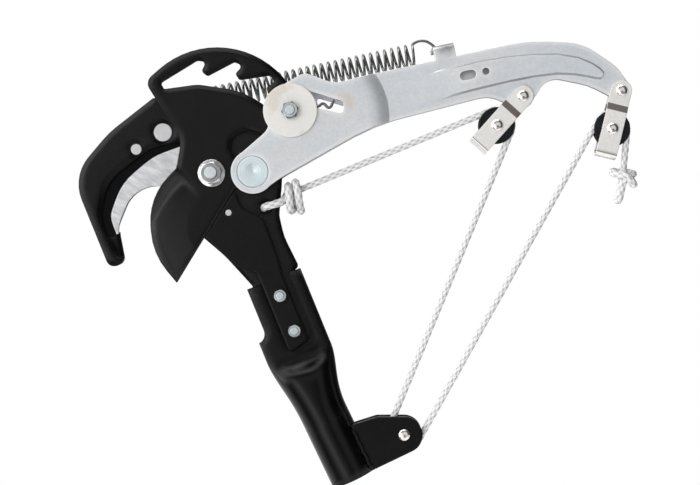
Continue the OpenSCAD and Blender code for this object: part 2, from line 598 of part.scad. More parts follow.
module lever_rear_plate() color("#c4c8cc") head()
    difference() {
        translate([0, 2 * lever_mid, 0]) mirror([0, 1, 0]) lever_sheet();
        plate([[84.4, 16, 1.5], [98.3, 3, 1.5], [95.1, -1.9, 1.5], [81.5, 7.6, 1.5]], -far, far);
        translate([tab_at[0], 0, tab_at[1]]) rotate([0, tab_slope, 0])
            translate([-tab_w / 2 - 1, lever_mid, 3 - tab_t - 2]) cube([tab_w + 2, 50, 8]);
    }
// Bent wire that presses the pawl outwards, lying in the front plate's window
pawl_wire = 1.6;
pawl_spring_y = (lever_front_out + lever_front_in) / 2;
pawl_spring_route = [[70.6, 15.2], [74, 14], [78.5, 11.6], [81.8, 9.5], [83.5, 9.3], [85.2, 9.7], [86.5, 9.2],
    [87.1, 8.1], [87.5, 6.6], [88.3, 5.6], [89.6, 5.4], [90.8, 6.1], [91.9, 7.2], [93, 7.9], [94, 8]];
module pawl_spring() color("#9a9da0") head()
    tube_along([for (p = pawl_spring_route) [p[0], pawl_spring_y, p[1]]], pawl_wire / 2, 10);

// Pawl: a sleeve on a bolt between two large washers
pawl_front_seat = lever_front_out - plate_gap / 2;
pawl_rear_seat = lever_rear_out + plate_gap / 2;
nut_m6 = 5;
module pawl_bolt() color("silver") head() {
    rod(pawl_at, pawl_bolt_d, pawl_front_seat - pawl_washer_t - nut_m6 - 0.8, pawl_rear_seat + pawl_washer_t);
    turned(pawl_at, let (f = pawl_rear_seat + pawl_washer_t)
        [[0, f], [6.5, f], [6.5, f + pawl_head_h * 0.3], [5.4, f + pawl_head_h * 0.7], [3, f + pawl_head_h * 0.95],
            [0, f + pawl_head_h]]);
}
module pawl_sleeve() color("#a8abae") head() difference() {
    rod(pawl_at, pawl_d, pawl_front_seat, pawl_rear_seat);
    rod(pawl_at, pawl_bolt_d + 2 * run_gap, -far, far);
}
module pawl_washer(y) head() difference() {
    rod(pawl_at, pawl_washer_d, y, y + pawl_washer_t);
    rod(pawl_at, pawl_bolt_d + 2 * run_gap, -far, far);
}
module pawl_front_washer() color("#d6d3cb") pawl_washer(pawl_front_seat - pawl_washer_t);
module pawl_rear_washer() color("#d6d3cb") pawl_washer(pawl_rear_seat);
module pawl_nut() color("silver") head() difference() {
    intersection() {
        hex(pawl_at, 10, pawl_front_seat - pawl_washer_t - nut_m6, pawl_front_seat - pawl_washer_t, 12);
        turned(pawl_at, let (f = pawl_front_seat - pawl_washer_t)
            [[0, f - nut_m6], [4.9, f - nut_m6], [6, f - nut_m6 + 0.7], [6, f], [0, f]]);
    }
    rod(pawl_at, pawl_bolt_d + 2 * run_gap, -far, far);
}

// Blocks: a strap bent round a sheave, swivelling on a rivet through the arm
block_gap = sheave_w / 2 + 0.4;
tongue_gap = lever_t + plate_gap;
tongue_length = 10;
step_length = 4.5;
strap_bend = 4.6;
strap_half = [[-strap_w / 2, tongue_gap], [tongue_length, tongue_gap], [tongue_length + step_length, block_gap],
    [swivel_to_end - strap_t, block_gap, strap_bend - strap_t], [swivel_to_end - strap_t, 0]];
strap_outer = [[-strap_w / 2, tongue_gap + strap_t], [tongue_length - 0.4, tongue_gap + strap_t],
    [tongue_length + step_length - 0.4, block_gap + strap_t], [swivel_to_end, block_gap + strap_t, strap_bend],
    [swivel_to_end, 0]];
function flipped(pts) = [for (i = [len(pts) - 1 : -1 : 0]) [pts[i][0], -pts[i][1], pts[i][2]]];
function full(p) = len(p) < 3 ? [p[0], p[1], 0] : p;
strap_side = let (o = [for (p = strap_outer) full(p)], h = [for (p = strap_half) full(p)])
    concat([for (i = [0 : 3]) o[i]], [for (i = [0 : 3]) let (f = flipped(o)) f[i + 1]],
        [for (i = [0 : 3]) let (f = flipped(h)) f[4 - i]], [for (i = [3 : -1 : 0]) h[i]]);
module in_block(at, turned_by)
    head() translate([at[0], lever_mid, at[1]]) rotate([0, turned_by, 0]) children();
module block_strap(at, turned_by) in_block(at, turned_by) difference() {
    intersection() {
        translate([-strap_w / 2, 0, 0]) rotate([90, 0, 90]) linear_extrude(strap_w)
            polygon([for (p = rounded(strap_side)) [p[1], -p[0]]]);
        union() {
            slab(-far, far) translate([-strap_w / 2, -far]) square([strap_w, far]);
            rod([0, 0], strap_w, -far, far);
        }
    }
    rod([0, 0], swivel_d + 2 * run_gap, -far, far);
    rod([0, -swivel_to_axle], axle_d + 2 * run_gap, -far, far);
}
function block_axle_at(at, turned_by) = at + turn([0, -swivel_to_axle], turned_by);
inner_axle_at = block_axle_at(inner_swivel_at, inner_block_turn);
outer_axle_at = block_axle_at(outer_swivel_at, outer_block_turn);
module block_axle(at) domed_rivet(at, axle_d, lever_mid, block_gap + strap_t + seat_gap, 8, 2.4);
module swivel_rivet(at) domed_rivet(at, swivel_d, lever_mid, tongue_gap + strap_t + seat_gap, 8, 2.4);
module inner_swivel_rivet() color("silver") head() swivel_rivet(inner_swivel_at);
module outer_swivel_rivet() color("silver") head() swivel_rivet(outer_swivel_at);
module inner_block_strap() color("#c9c7c2") block_strap(inner_swivel_at, inner_block_turn);
module outer_block_strap() color("#c9c7c2") block_strap(outer_swivel_at, outer_block_turn);
module inner_block_axle() color("silver") head() block_axle(inner_axle_at);
module outer_block_axle() color("silver") head() block_axle(outer_axle_at);
module inner_sheave() color("#202124") head() sheave(inner_axle_at);
module outer_sheave() color("#202124") head() sheave(outer_axle_at);

// Return spring: a helix with a loop at each end, behind the head
spring_r = (spring_d - spring_wire) / 2;
spring_way = unit(spring_hole_at - post_at);
spring_up = turn(spring_way, -90);
coil_rise = 2;
coil_start = 13;
coil_end = norm(spring_hole_at - post_at) - 16;
rings_per_curl = 8;
function spring_point(along, up, depth) =
    let (p = post_at + spring_way * along + spring_up * up) [p[0], spring_y + depth, p[1]];
function helix_point(i, n) =
    let (a = 360 * i / rings_per_curl)
    spring_point(coil_start + (coil_end - coil_start) * i / n, coil_rise + spring_r * cos(a), spring_r * sin(a));
coil_steps = spring_curls * rings_per_curl;
post_loop_r = 3.4 + spring_wire / 2;
spring_route = concat(
    [for (a = [-120 : 30 : 150]) spring_point(-post_loop_r * sin(a + 90) * 1, -post_loop_r * cos(a + 90), 0)],
    [spring_point(8.2, 5.2, 0), spring_point(10.9, 8.2, 0)],
    [for (i = [0 : coil_steps]) helix_point(i, coil_steps)],
    [spring_point(coil_end + 2, spring_r + 2.9, 0), spring_point(coil_end + 5.5, spring_r + 3.3, 0),
        spring_point(coil_end + 9.5, spring_r + 2.2, 0), spring_point(coil_end + 13, spring_r - 1, 0),
        spring_point(coil_end + 15.4, 2.4, 0), spring_point(coil_end + 16, -2, 0), spring_point(coil_end + 16, -5.5, 0)]);
module return_spring() color("#8d9094") head() tube_along(spring_route, spring_wire / 2, 6);
function least_gap(pts, apart, wire) =
    min([for (i = [0 : len(pts) - 1], j = [i + apart : 1 : len(pts) - 1]) norm(pts[i] - pts[j])]) - wire;
echo(spring_least_gap = least_gap(spring_route, 5, spring_wire));

// Pull cord: tied through the frame, over the inner sheave, round the lower one, over the outer one
cord_turn_r = groove_d / 2 + cord_d / 2 + 0.35;
cord_start = [41, -34.4];
cord_end = [246, -117];
cord_stops = [[cord_start, 0], [inner_axle_at, cord_turn_r], [bracket_axle_at, -cord_turn_r],
    [outer_axle_at, cord_turn_r], [cord_end, 0]];
// Heading of the straight run from stop i to the next, tangent to both
function run_heading(i) =
    let (d = cord_stops[i + 1][0] - cord_stops[i][0])
    atan2(d[1], d[0]) + asin((cord_stops[i + 1][1] - cord_stops[i][1]) / norm(d));
function tangent_at(i, a) = cord_stops[i][0] + polar(cord_stops[i][1], a + 90);
wrap_step = 22;
run_step = 14;
function wrap_points(i) =
    let (a0 = run_heading(i - 1), a1 = run_heading(i), n = ceil(abs(a1 - a0) / wrap_step))
    [for (k = [0 : n]) tangent_at(i, a0 + (a1 - a0) * k / n)];
function run_points(i) =
    let (a = tangent_at(i, run_heading(i)), b = tangent_at(i + 1, run_heading(i)), n = ceil(norm(b - a) / run_step))
    [for (k = [1 : n - 1]) a + (b - a) * k / n];
cord_run = concat([cord_start], run_points(0), wrap_points(1), run_points(1), wrap_points(2), run_points(2),
    wrap_points(3), run_points(3), [cord_end, cord_end + [-5, -8], cord_end + [-9, -15]]);
// The loop through the frame, [x, y, z], which ends in the knot
strand = frame_t / 2 + cord_d / 2 + 0.4;
anchor_loop = [[43, lever_mid, -41], [40, -strand + 1.5, -38.6], [35, -strand - 0.2, -37.4], [29, -strand - 0.2, -36.4],
    [24.2, -strand + 0.2, -35.7], [22, -strand + 3.4, -35.2], [21.2, 0, -35], [22, strand - 3.4, -35.2],
    [24.2, strand - 0.2, -35.6], [29, strand + 0.2, -36], [34, strand - 0.8, -35.6], [38, 1.6, -34.8]];
cord_route = concat(anchor_loop, [for (p = cord_run) [p[0], lever_mid, p[1]]]);
module pull_cord() color("#eeeeec") head() tube_along(cord_route, cord_d / 2, 10);
module anchor_knot() color("#eeeeec") head() translate([39.5, lever_mid, -37]) sphere(r = 5.6);
module end_knot() color("#eeeeec") head() translate([cord_end[0] - 1, lever_mid, cord_end[1] - 2]) sphere(r = 6);

socket_tube();
cord_bracket();
bracket_axle();
lower_sheave();
hook_frame();
counter_blade();
counter_rivets();
stop_plate();
stop_rivet();
neck_bolts();
neck_nuts();
spring_post();
blade();
blade_bush();
blade_bolt();
blade_flange_nut();
lever_pin();
lever_pin_collar();
lever_front_plate();
lever_rear_plate();
pawl_spring();
pawl_bolt();
pawl_sleeve();
pawl_front_washer();
pawl_rear_washer();
pawl_nut();
inner_swivel_rivet();
outer_swivel_rivet();
inner_block_strap();
inner_block_axle();
inner_sheave();
outer_block_strap();
outer_block_axle();
outer_sheave();
return_spring();
pull_cord();
anchor_knot();
end_knot();
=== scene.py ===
# %% [markdown]
# # Head of a pole pruner
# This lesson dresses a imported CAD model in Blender. The head has a black hooked frame, a black
# blade, a zinc lever with two small pulley blocks, a braided cord and a pole socket. Most CAD
# solids keep their shape and get finishes. Cord, knots and wires are soft or wound, so each is
# built again as a finer surface. So are five rivets and four pieces whose facets would show. The
# scene is in metres, in the frame that the CAD model uses. Points are typed in millimetres.

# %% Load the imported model
import math

import bmesh
import bpy
import numpy as np
from mathutils import Matrix


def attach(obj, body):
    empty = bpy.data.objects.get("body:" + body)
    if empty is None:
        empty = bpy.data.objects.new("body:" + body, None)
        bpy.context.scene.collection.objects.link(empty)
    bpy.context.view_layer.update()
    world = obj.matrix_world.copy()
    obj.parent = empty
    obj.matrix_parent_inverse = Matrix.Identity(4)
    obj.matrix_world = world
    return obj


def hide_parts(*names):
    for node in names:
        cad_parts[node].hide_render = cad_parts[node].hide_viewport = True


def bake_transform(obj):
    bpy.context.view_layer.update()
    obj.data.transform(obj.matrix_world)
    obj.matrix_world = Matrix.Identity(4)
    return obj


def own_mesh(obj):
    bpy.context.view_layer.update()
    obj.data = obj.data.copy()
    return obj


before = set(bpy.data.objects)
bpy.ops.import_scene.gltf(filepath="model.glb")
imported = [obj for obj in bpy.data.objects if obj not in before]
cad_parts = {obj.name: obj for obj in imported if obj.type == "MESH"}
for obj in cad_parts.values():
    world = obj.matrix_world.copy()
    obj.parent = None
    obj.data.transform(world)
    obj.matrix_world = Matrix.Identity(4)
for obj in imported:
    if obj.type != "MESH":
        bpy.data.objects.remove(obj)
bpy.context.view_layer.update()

MM = 0.001

# %% [markdown]
# ## Camera
# The photograph looks straight at the head, which leans to the left. The same picture can come
# from a turned object or from a rolled camera. The model has to stay where the CAD put it, so
# the camera is rolled. A long lens keeps the plates free of strong perspective.

# %% Camera at the photograph's viewing angle
BLADE_PIVOT = np.array([2.0, 0.0, 222.5])
ROLL = math.radians(25.6)
CAMERA_DISTANCE = 1.007
VIEW_WIDTH = 0.462
VIEW_OFFSET = np.array([62.6, 0, -80.7])
SENSOR = 36
view_centre = (BLADE_PIVOT + VIEW_OFFSET) * MM
right_way = np.array([math.cos(ROLL), 0, -math.sin(ROLL)])
up_way = np.array([math.sin(ROLL), 0, math.cos(ROLL)])
toward_viewer = np.array([0, -1.0, 0])


def set_up(thing, right, up, back, at):
    """Puts a camera or a lamp at a place. Its three axes are the columns of its matrix."""
    columns = np.column_stack([right, up, back, at])
    thing.matrix_world = Matrix(columns.tolist() + [[0, 0, 0, 1]])


camera_data = bpy.data.cameras.new("photo_camera")
camera_data.sensor_width = SENSOR
camera_data.lens = SENSOR / VIEW_WIDTH
camera_data.clip_start = 0.01
camera = bpy.data.objects.new("photo_camera", camera_data)
bpy.context.collection.objects.link(camera)
set_up(camera, right_way, up_way, toward_viewer, view_centre + toward_viewer * CAMERA_DISTANCE)
bpy.context.scene.camera = camera
print("lens", round(camera_data.lens, 1), "mm")

# %% [markdown]
# ## Paths and tubes
# A cord, a knot and a spring are all a round section carried along a path. A Blender curve with
# a bevel could do that, but its section keeps one shape all along. Here the radius is an array,
# round the section and along the path, so a braid can stand up from the surface as real shape.

# %% Points given from the blade pivot, in millimetres
def place(points):
    """Points [x, y, z] in millimetres from the blade pivot, as metres in the model's frame."""
    return (np.asarray(points, float) + BLADE_PIVOT) * MM


def flat(points, depth):
    """Points [x, z] of the head's own plane, set at one depth along Y."""
    points = np.asarray(points, float)
    return np.column_stack([points[:, 0], np.full(len(points), depth), points[:, 1]])


def resample(points, step):
    """The same polyline with points an equal distance apart, about step, measured along it."""
    way = np.r_[0, np.cumsum(np.linalg.norm(np.diff(points, axis=0), axis=1))]
    marks = np.linspace(0, way[-1], max(3, int(round(way[-1] / step)) + 1))
    return np.column_stack([np.interp(marks, way, points[:, k]) for k in range(3)])


def smooth_route(points, step, fine=24):
    """A Catmull-Rom curve through the points: on each span a cubic whose slope at a point is
    half the way from the point before it to the point after it. Then resampled evenly."""
    p = np.asarray(points, float)
    p = np.vstack([2 * p[0] - p[1], p, 2 * p[-1] - p[-2]])
    a, b, c, d = (p[k:len(p) - 3 + k, None] for k in range(4))
    t = np.linspace(0, 1, fine, endpoint=False)[None, :, None]
    curve = 0.5 * (2 * b + (c - a) * t + (2 * a - 5 * b + 4 * c - d) * t**2
                   + (3 * b - a - 3 * c + d) * t**3)
    return resample(np.vstack([curve.reshape(-1, 3), p[-2]]), step)


# %% A frame that runs along a path without twisting
def unit(v):
    """Each row divided by its length."""
    return v / np.linalg.norm(v, axis=-1, keepdims=True)


def carried_frame(path, reference):
    """Tangent, normal and binormal of each path point. The normals start from one reference
    direction. Carrying each normal to the next point by the shortest turn shows how far the next
    one is twisted, and the running sum of those twists is turned back."""
    tangent = unit(np.gradient(path, axis=0))
    normal = unit(np.cross(np.asarray(reference, float), tangent))
    t0, t1, n0 = tangent[:-1], tangent[1:], normal[:-1]
    half = unit(t0 + t1)
    mirrored = n0 - 2 * np.sum(n0 * t0, 1, keepdims=True) * t0
    carried = mirrored - 2 * np.sum(mirrored * half, 1, keepdims=True) * half
    side = np.cross(t1, carried)
    twist = np.arctan2(np.sum(normal[1:] * side, 1), np.sum(normal[1:] * carried, 1))
    angle = -np.r_[0, np.cumsum(twist)][:, None]
    binormal = np.cross(tangent, normal)
    return (tangent, normal * np.cos(angle) + binormal * np.sin(angle),
            binormal * np.cos(angle) - normal * np.sin(angle))


# %% A tube whose radius may change round it and along it
def grid_faces(rings, sides):
    """Quads between neighbouring rings, and one many-sided face at each end."""
    i, k = np.meshgrid(np.arange(rings - 1), np.arange(sides), indexing="ij")
    a, b = i * sides + k, i * sides + (k + 1) % sides
    quads = np.stack([a, b, b + sides, a + sides], -1).reshape(-1, 4).tolist()
    last = (rings - 1) * sides
    return quads + [list(range(sides))[::-1], list(range(last, last + sides))]


def tube(name, path, radius, reference=(0, 1, 0), values=None):
    """path[i] + radius[i, k] * (cos of the angle k times the normal + sin times the binormal).
    values, one number per point, is kept as the attribute "relief" for the material."""
    sides = radius.shape[1]
    turn = 2 * np.pi * np.arange(sides) / sides
    _, normal, binormal = carried_frame(path, reference)
    ring = (np.cos(turn)[None, :, None] * normal[:, None]
            + np.sin(turn)[None, :, None] * binormal[:, None])
    points = path[:, None] + radius[..., None] * ring
    mesh = bpy.data.meshes.new(name)
    mesh.from_pydata(points.reshape(-1, 3).tolist(), [], grid_faces(len(path), sides))
    mesh.polygons.foreach_set("use_smooth", np.ones(len(mesh.polygons), bool))
    if values is not None:
        relief = mesh.attributes.new("relief", "FLOAT", "POINT")
        relief.data.foreach_set("value", values.astype(np.float32).ravel())
    piece = bpy.data.objects.new(name, mesh)
    bpy.context.collection.objects.link(piece)
    print(name, len(mesh.vertices), "points")
    return piece


# %% [markdown]
# ## Pull cord
# A white braided cord is tied to the frame, runs over the inner pulley, round the lower one, over
# the outer one, and ends in a knot. A picture of a weave on a plain tube would look flat at this
# size, so the strands are shape. Two families of strands wind in opposite ways. At each crossing
# one lies over the other, and the higher of the two heights is the surface.

# %% The braid's relief
CORD_RADIUS = 2.25 * MM
BRAID_RELIEF = 0.42 * MM
STRANDS = 4
STRAND_TURN = 23 * MM
CORD_SIDES = 40
CORD_STEP = 0.42 * MM
STRAND_ARCH = 2.6
CROSSING_LIFT = 0.45
LOWEST, HEIGHT_SPAN = 0.35, 1.1


def braid(rings, begin):
    """Height 0..1 of a braid at each ring and side. u and v count the strands that wind one way
    and the other. A strand's section is a low arch, lifted where it passes over and lowered
    where it passes under, in turn like the squares of a chessboard."""
    along = begin + CORD_STEP * np.arange(rings)[:, None]
    round_it = STRANDS * np.arange(CORD_SIDES)[None, :] / CORD_SIDES
    u = round_it + STRANDS * along / STRAND_TURN
    v = round_it - STRANDS * along / STRAND_TURN
    over = np.where((np.floor(u) + np.floor(v)) % 2 == 0, 1.0, -1.0)
    fu, fv = u % 1 - 0.5, v % 1 - 0.5
    first = 1 - STRAND_ARCH * fu**2 + CROSSING_LIFT * over * np.cos(np.pi * fv)
    second = 1 - STRAND_ARCH * fv**2 - CROSSING_LIFT * over * np.cos(np.pi * fu)
    height = np.maximum(first, second)
    return np.clip((height - LOWEST) / HEIGHT_SPAN, 0, 1)


def cord_piece(name, route, begin=0.0, swell=None, reference=(0, 1, 0)):
    """A braided tube along a route. swell, if given, multiplies the radius along the route."""
    path = resample(np.asarray(route), CORD_STEP)
    relief = braid(len(path), begin)
    radius = CORD_RADIUS - BRAID_RELIEF * (1 - relief)
    if swell is not None:
        radius = radius * swell(np.linspace(0, 1, len(path)))[:, None]
    return tube(name, path, radius, reference, relief), path


# %% The cord's route round the pulleys
CORD_DEPTH = -2.1
TURN_RADIUS = 10.6
knot_mouth = np.array([46.0, -34.6])
inner_pulley = np.array([183.63, -52.78])
lower_pulley = np.array([40.0, -210.5])
outer_pulley = np.array([251.33, -87.72])
tail_end = np.array([246.0, -117.0])
stops = np.array([knot_mouth, inner_pulley, lower_pulley, outer_pulley, tail_end])
reach = np.array([0, TURN_RADIUS, -TURN_RADIUS, TURN_RADIUS, 0])
spans = np.diff(stops, axis=0)
heading = (np.arctan2(spans[:, 1], spans[:, 0])
           + np.arcsin(np.diff(reach) / np.linalg.norm(spans, axis=1)))


def touch(stop, angle):
    """Where a run with this heading touches the circle of a stop: square to the heading."""
    angle = np.asarray(angle, float)[..., None]
    return stops[stop] + reach[stop] * np.concatenate([-np.sin(angle), np.cos(angle)], -1)


def wrap(stop):
    """The arc on a pulley between the run that comes in and the run that goes out."""
    come, go = heading[stop - 1], heading[stop]
    go = come + (go - come + np.pi) % (2 * np.pi) - np.pi
    go = go + 2 * np.pi * (stop == 2 and go < come) - 2 * np.pi * (stop != 2 and go > come)
    return touch(stop, np.linspace(come, go, 60))


runs = [np.array([touch(i, heading[i]), touch(i + 1, heading[i])]) for i in range(4)]
print("runs, mm", [round(float(np.linalg.norm(r[1] - r[0])), 1) for r in runs])

# %% [markdown]
# When the lever is pulled, every run of the cord changes its length and its direction. So the
# cord is made in stretches. The long run and the turn round the lower pulley ride with the frame,
# the outer run and the turn round the outer pulley with the outer block. The two long runs get
# shorter at the full pull; here they only get a mesh of their own.

# %% The blocks' swivel points, and a run's own mesh
INNER_SWIVEL, INNER_RATIO = np.array([207.6, -42.7]), -0.22
OUTER_SWIVEL, OUTER_RATIO = np.array([267.8, -67.6]), -0.55


def shorten(piece):
    """Gives the piece its own copy of its mesh."""
    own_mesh(piece)


# %% The cord's six stretches
TIE_SHARE = 0.68
TIE_DEPTH = -0.3
tie_cut = runs[0][0] + (runs[0][1] - runs[0][0]) * TIE_SHARE
stretches = {
    "pull_cord_tie_run": np.array([runs[0][0], tie_cut]),
    "pull_cord_inner_turn": np.vstack([tie_cut, wrap(1)]),
    "pull_cord_long_run": runs[1],
    "pull_cord_lower_turn": wrap(2),
    "pull_cord_outer_run": runs[2],
    "pull_cord_outer_turn": np.vstack([wrap(3), tail_end]),
}
cord, cord_length = {}, 0.0
for name, points in stretches.items():
    route = flat(points, CORD_DEPTH)
    if name == "pull_cord_tie_run":
        route[0][1] = TIE_DEPTH
    piece, path = cord_piece(name, place(route), cord_length)
    length = float(np.sum(np.linalg.norm(np.diff(path, axis=0), axis=1)))
    cord[name] = (piece, path, length)
    cord_length += length
    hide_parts("pull_cord")
print("cord without its knots", round(cord_length * 1000), "mm")

# %% What each stretch moves with
tie_run, inner_turn, long_run, lower_turn, outer_run, outer_turn = (c[0] for c in cord.values())
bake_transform(tie_run)
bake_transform(inner_turn)
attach(long_run, "frame")
shorten(long_run)
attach(lower_turn, "frame")
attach(outer_run, "outer_block")
shorten(outer_run)
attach(outer_turn, "outer_block")

# %% [markdown]
# ## Knots
# At the frame the cord goes through a hole, comes back behind the plate and is tied round itself.
# At the far end a folded end is tied in the same way, with the cut end standing out. A ball would
# be too plain, so each knot is the cord itself on a curve through listed points. At the full pull
# the lever's plates pass over the tie.

# %% How the cord looks in a knot
KNOT_SWELL = 1.2
CUT_SHARE, CUT_LEAST = 0.012, 0.05
KNOT_REFERENCE = (0.31, 0.55, 0.77)


def cut_end(share):
    """A slack cord is a little thicker in a knot. It has a short rounded fall at its very end."""
    return KNOT_SWELL * np.sqrt(np.clip((1 - share) / CUT_SHARE, CUT_LEAST, 1))


# %% Tie at the frame: through the hole and back, then two wraps that are drawn a little wider
LOOP_END = 9
WRAP_SPREAD = [1.18, 1.12, 1.3]
tie_points = np.array([
    [46, TIE_DEPTH, -34.6], [42.6, -1.2, -35.3], [37, -2.7, -36.3], [31, -5.5, -36.6],
    [25.5, -5.9, -35.8], [22.6, -4.4, -35.2], [21.3, 0, -35], [22.6, 4.4, -35.2],
    [27, 5.9, -35.9], [33, 5.6, -36.4], [38, 2.2, -34.2], [40.4, -0.9, -30.8],
    [39.8, -6, -32.8], [37.8, -7.6, -37.8], [36, -4.8, -42.2], [37.2, 1.2, -42.6],
    [40.4, 3.4, -38.6], [43.8, 1.8, -33], [45, -3.6, -31], [44, -7, -36],
    [42.2, -5.4, -40.8], [41.2, -1.6, -44.2], [40.4, -0.6, -47]], float)
wraps = tie_points[LOOP_END + 1:]
wraps[:] = tie_points[LOOP_END] + (wraps - tie_points[LOOP_END]) * WRAP_SPREAD
anchor_tie, _ = cord_piece("anchor_tie", smooth_route(place(tie_points), CORD_STEP),
                           swell=cut_end, reference=KNOT_REFERENCE)
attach(anchor_tie, "frame")
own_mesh(anchor_tie)
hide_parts("anchor_knot")

# %% Knot at the far end, drawn as the viewer sees it: right, up, and depth from the cord's plane
end_centre = np.array([245.0, CORD_DEPTH, -119.0])
end_points = np.array([
    [0.75, 7, 0.2], [0.4, 3, 0.5], [-0.6, -3, 1.0], [-1.9, -9, 1.6], [-2.9, -14.4, 1.4],
    [-3.5, -16.4, -1.0], [-2.9, -14.2, -3.2], [-1.7, -8.4, -3.4], [-0.4, -4, -3.6],
    [2.0, -1.2, -3.8], [5.4, 0.6, -2.4], [6.6, 1.4, 1.2], [3.8, 2.2, 4.4], [-1.5, 2.4, 5.0],
    [-5.6, 2.8, 2.8], [-6.8, 2.2, -0.6], [-4.6, 0.6, -4.6], [0, 0, -7.4], [3.8, -2.8, -6.2],
    [6.2, -5.6, -3.4], [7, -7.8, -2.2]])
end_route = (end_centre + end_points[:, :1] * right_way + end_points[:, 1:2] * up_way
             + end_points[:, 2:] * np.array([0, 1.0, 0]))
end_route = np.vstack([[tail_end[0], CORD_DEPTH, tail_end[1]], end_route[1:]])
end_tie, _ = cord_piece("end_tie", smooth_route(place(end_route), CORD_STEP),
                        swell=cut_end, reference=KNOT_REFERENCE)
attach(end_tie, "outer_block")
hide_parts("end_knot")

# %% Say what the cord is
print("cord in", len(cord), "stretches and two knots")

# %% [markdown]
# ## Springs
# A long return spring hangs behind the head, from a post on the frame to a hole in the lever's
# tab. A second, bent wire lies in the lever's window and presses the pawl outwards. Blender's
# Screw modifier makes a coil, but not the hooks at its ends, so the whole wire is one path.

# %% Return spring
SPRING_DEPTH = 19.7
SPRING_WIRE = 0.95 * MM
SPRING_CURL = 7.5
SPRING_CURLS = 31
spring_post = np.array([-3.0, 51.0])
spring_hole = np.array([172.0, 9.0])
spring_span = float(np.linalg.norm(spring_hole - spring_post))
spring_way = (spring_hole - spring_post) / spring_span
spring_up = np.array([-spring_way[1], spring_way[0]])
coil_start, coil_end = 13.0, spring_span - 16
COIL_RISE = 2.0
LOOP_RADIUS = 4.2
CURL_POINTS = 36


def spring_points(along, up, depth):
    """Points along the spring's line, above it, and in depth, as [x, y, z]."""
    along, up, depth = np.broadcast_arrays(*map(np.asarray, (along, up, depth)))
    p = spring_post + along[:, None] * spring_way + up[:, None] * spring_up
    return np.column_stack([p[:, 0], SPRING_DEPTH + depth, p[:, 1]])


loop_angle = np.radians(np.arange(-120, 151, 15) + 90)
curl = np.linspace(0, 2 * np.pi * SPRING_CURLS, CURL_POINTS * SPRING_CURLS + 1)
hook = np.array([[2, 10.4], [5.5, 10.8], [9.5, 9.7], [13, 6.5], [15.4, 2.4], [16, -2], [16, -5.5]])
spring_route = np.vstack([
    spring_points(-LOOP_RADIUS * np.sin(loop_angle), -LOOP_RADIUS * np.cos(loop_angle),
                  0.0 * loop_angle),
    spring_points([8.2, 10.9], [5.2, 8.2], [0.0, 0.0]),
    spring_points(coil_start + (coil_end - coil_start) * curl / curl[-1],
                  COIL_RISE + SPRING_CURL * np.cos(curl), SPRING_CURL * np.sin(curl)),
    spring_points(coil_end + hook[:, 0], hook[:, 1], 0 * hook[:, 0])])
spring_path = smooth_route(place(spring_route), 1.1 * MM, fine=6)
spring_wire = tube("return_spring_wire", spring_path,
                   np.full((len(spring_path), 14), SPRING_WIRE), reference=(0.23, 0.31, 0.92))
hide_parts("return_spring")
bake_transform(spring_wire)

# %% Pawl spring
PAWL_SPRING_DEPTH = -8.65
PAWL_SPRING_WIRE = 1.0 * MM
pawl_points = [
    [70.6, 15.2], [74, 14], [78.5, 11.6], [81.8, 9.5], [83.5, 9.3], [85.2, 9.7], [86.5, 9.2],
    [87.1, 8.1], [87.5, 6.6], [88.3, 5.6], [89.6, 5.4], [90.8, 6.1], [91.9, 7.2], [93, 7.9],
    [94, 8]]
pawl_path = smooth_route(place(flat(pawl_points, PAWL_SPRING_DEPTH)), 0.4 * MM)
pawl_wire = tube("pawl_spring_wire", pawl_path, np.full((len(pawl_path), 16), PAWL_SPRING_WIRE))
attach(pawl_wire, "lever")
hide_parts("pawl_spring")

# %% [markdown]
# ## Weld beads
# The lower bracket's two cheeks are welded to the tube. A bead is a low ridge with a ripple for
# each small pool that froze after the other. It is a tube again, half sunk in the corner, with a
# radius that swells and falls along it.

# %% Two rippled beads
TUBE_RADIUS = 15.75
BEAD_RADIUS = 1.5 * MM
RIPPLE = 2.2


def weld_bead(name, cheek_face, outwards, low, high):
    """A tube up the line where a cheek's face meets the round pole tube. Its radius falls to the
    ends and carries ripples that are RIPPLE millimetres apart, a little uneven."""
    corner = math.sqrt(TUBE_RADIUS**2 - cheek_face**2)
    z = np.arange(low, high, 0.2)
    share = (z - low) / (high - low)
    wander = 0.25 * np.sin(z * 0.83) + 0.15 * np.sin(z * 2.1 + 1)
    face = np.full(len(z), cheek_face + 0.35 * outwards)
    path = np.column_stack([corner + 0.3 + wander, face, z]) * MM
    ripple = 0.78 + 0.22 * np.abs(np.sin(np.pi * z / RIPPLE + 0.4 * np.sin(z * 0.6)))
    ends = np.sqrt(np.clip(np.minimum(share, 1 - share) / 0.06, 0.02, 1))
    bead = tube(name, path, np.repeat((BEAD_RADIUS * ripple * ends)[:, None], 18, 1))
    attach(bead, "frame")


weld_bead("bracket_weld_front", -9.1, -1, 0.8, 29.6)
weld_bead("bracket_weld_rear", 4.9, 1, 0.8, 29.6)

# %% [markdown]
# ## Rivets
# The rivets' domes are small, but they mirror the whole room, so flat facets show at once. Each
# rivet is a tube along its own axis, with the radius of a dome, a shank and a second dome.

# %% Five domed rivets
HEAD_RADIUS = 4.0


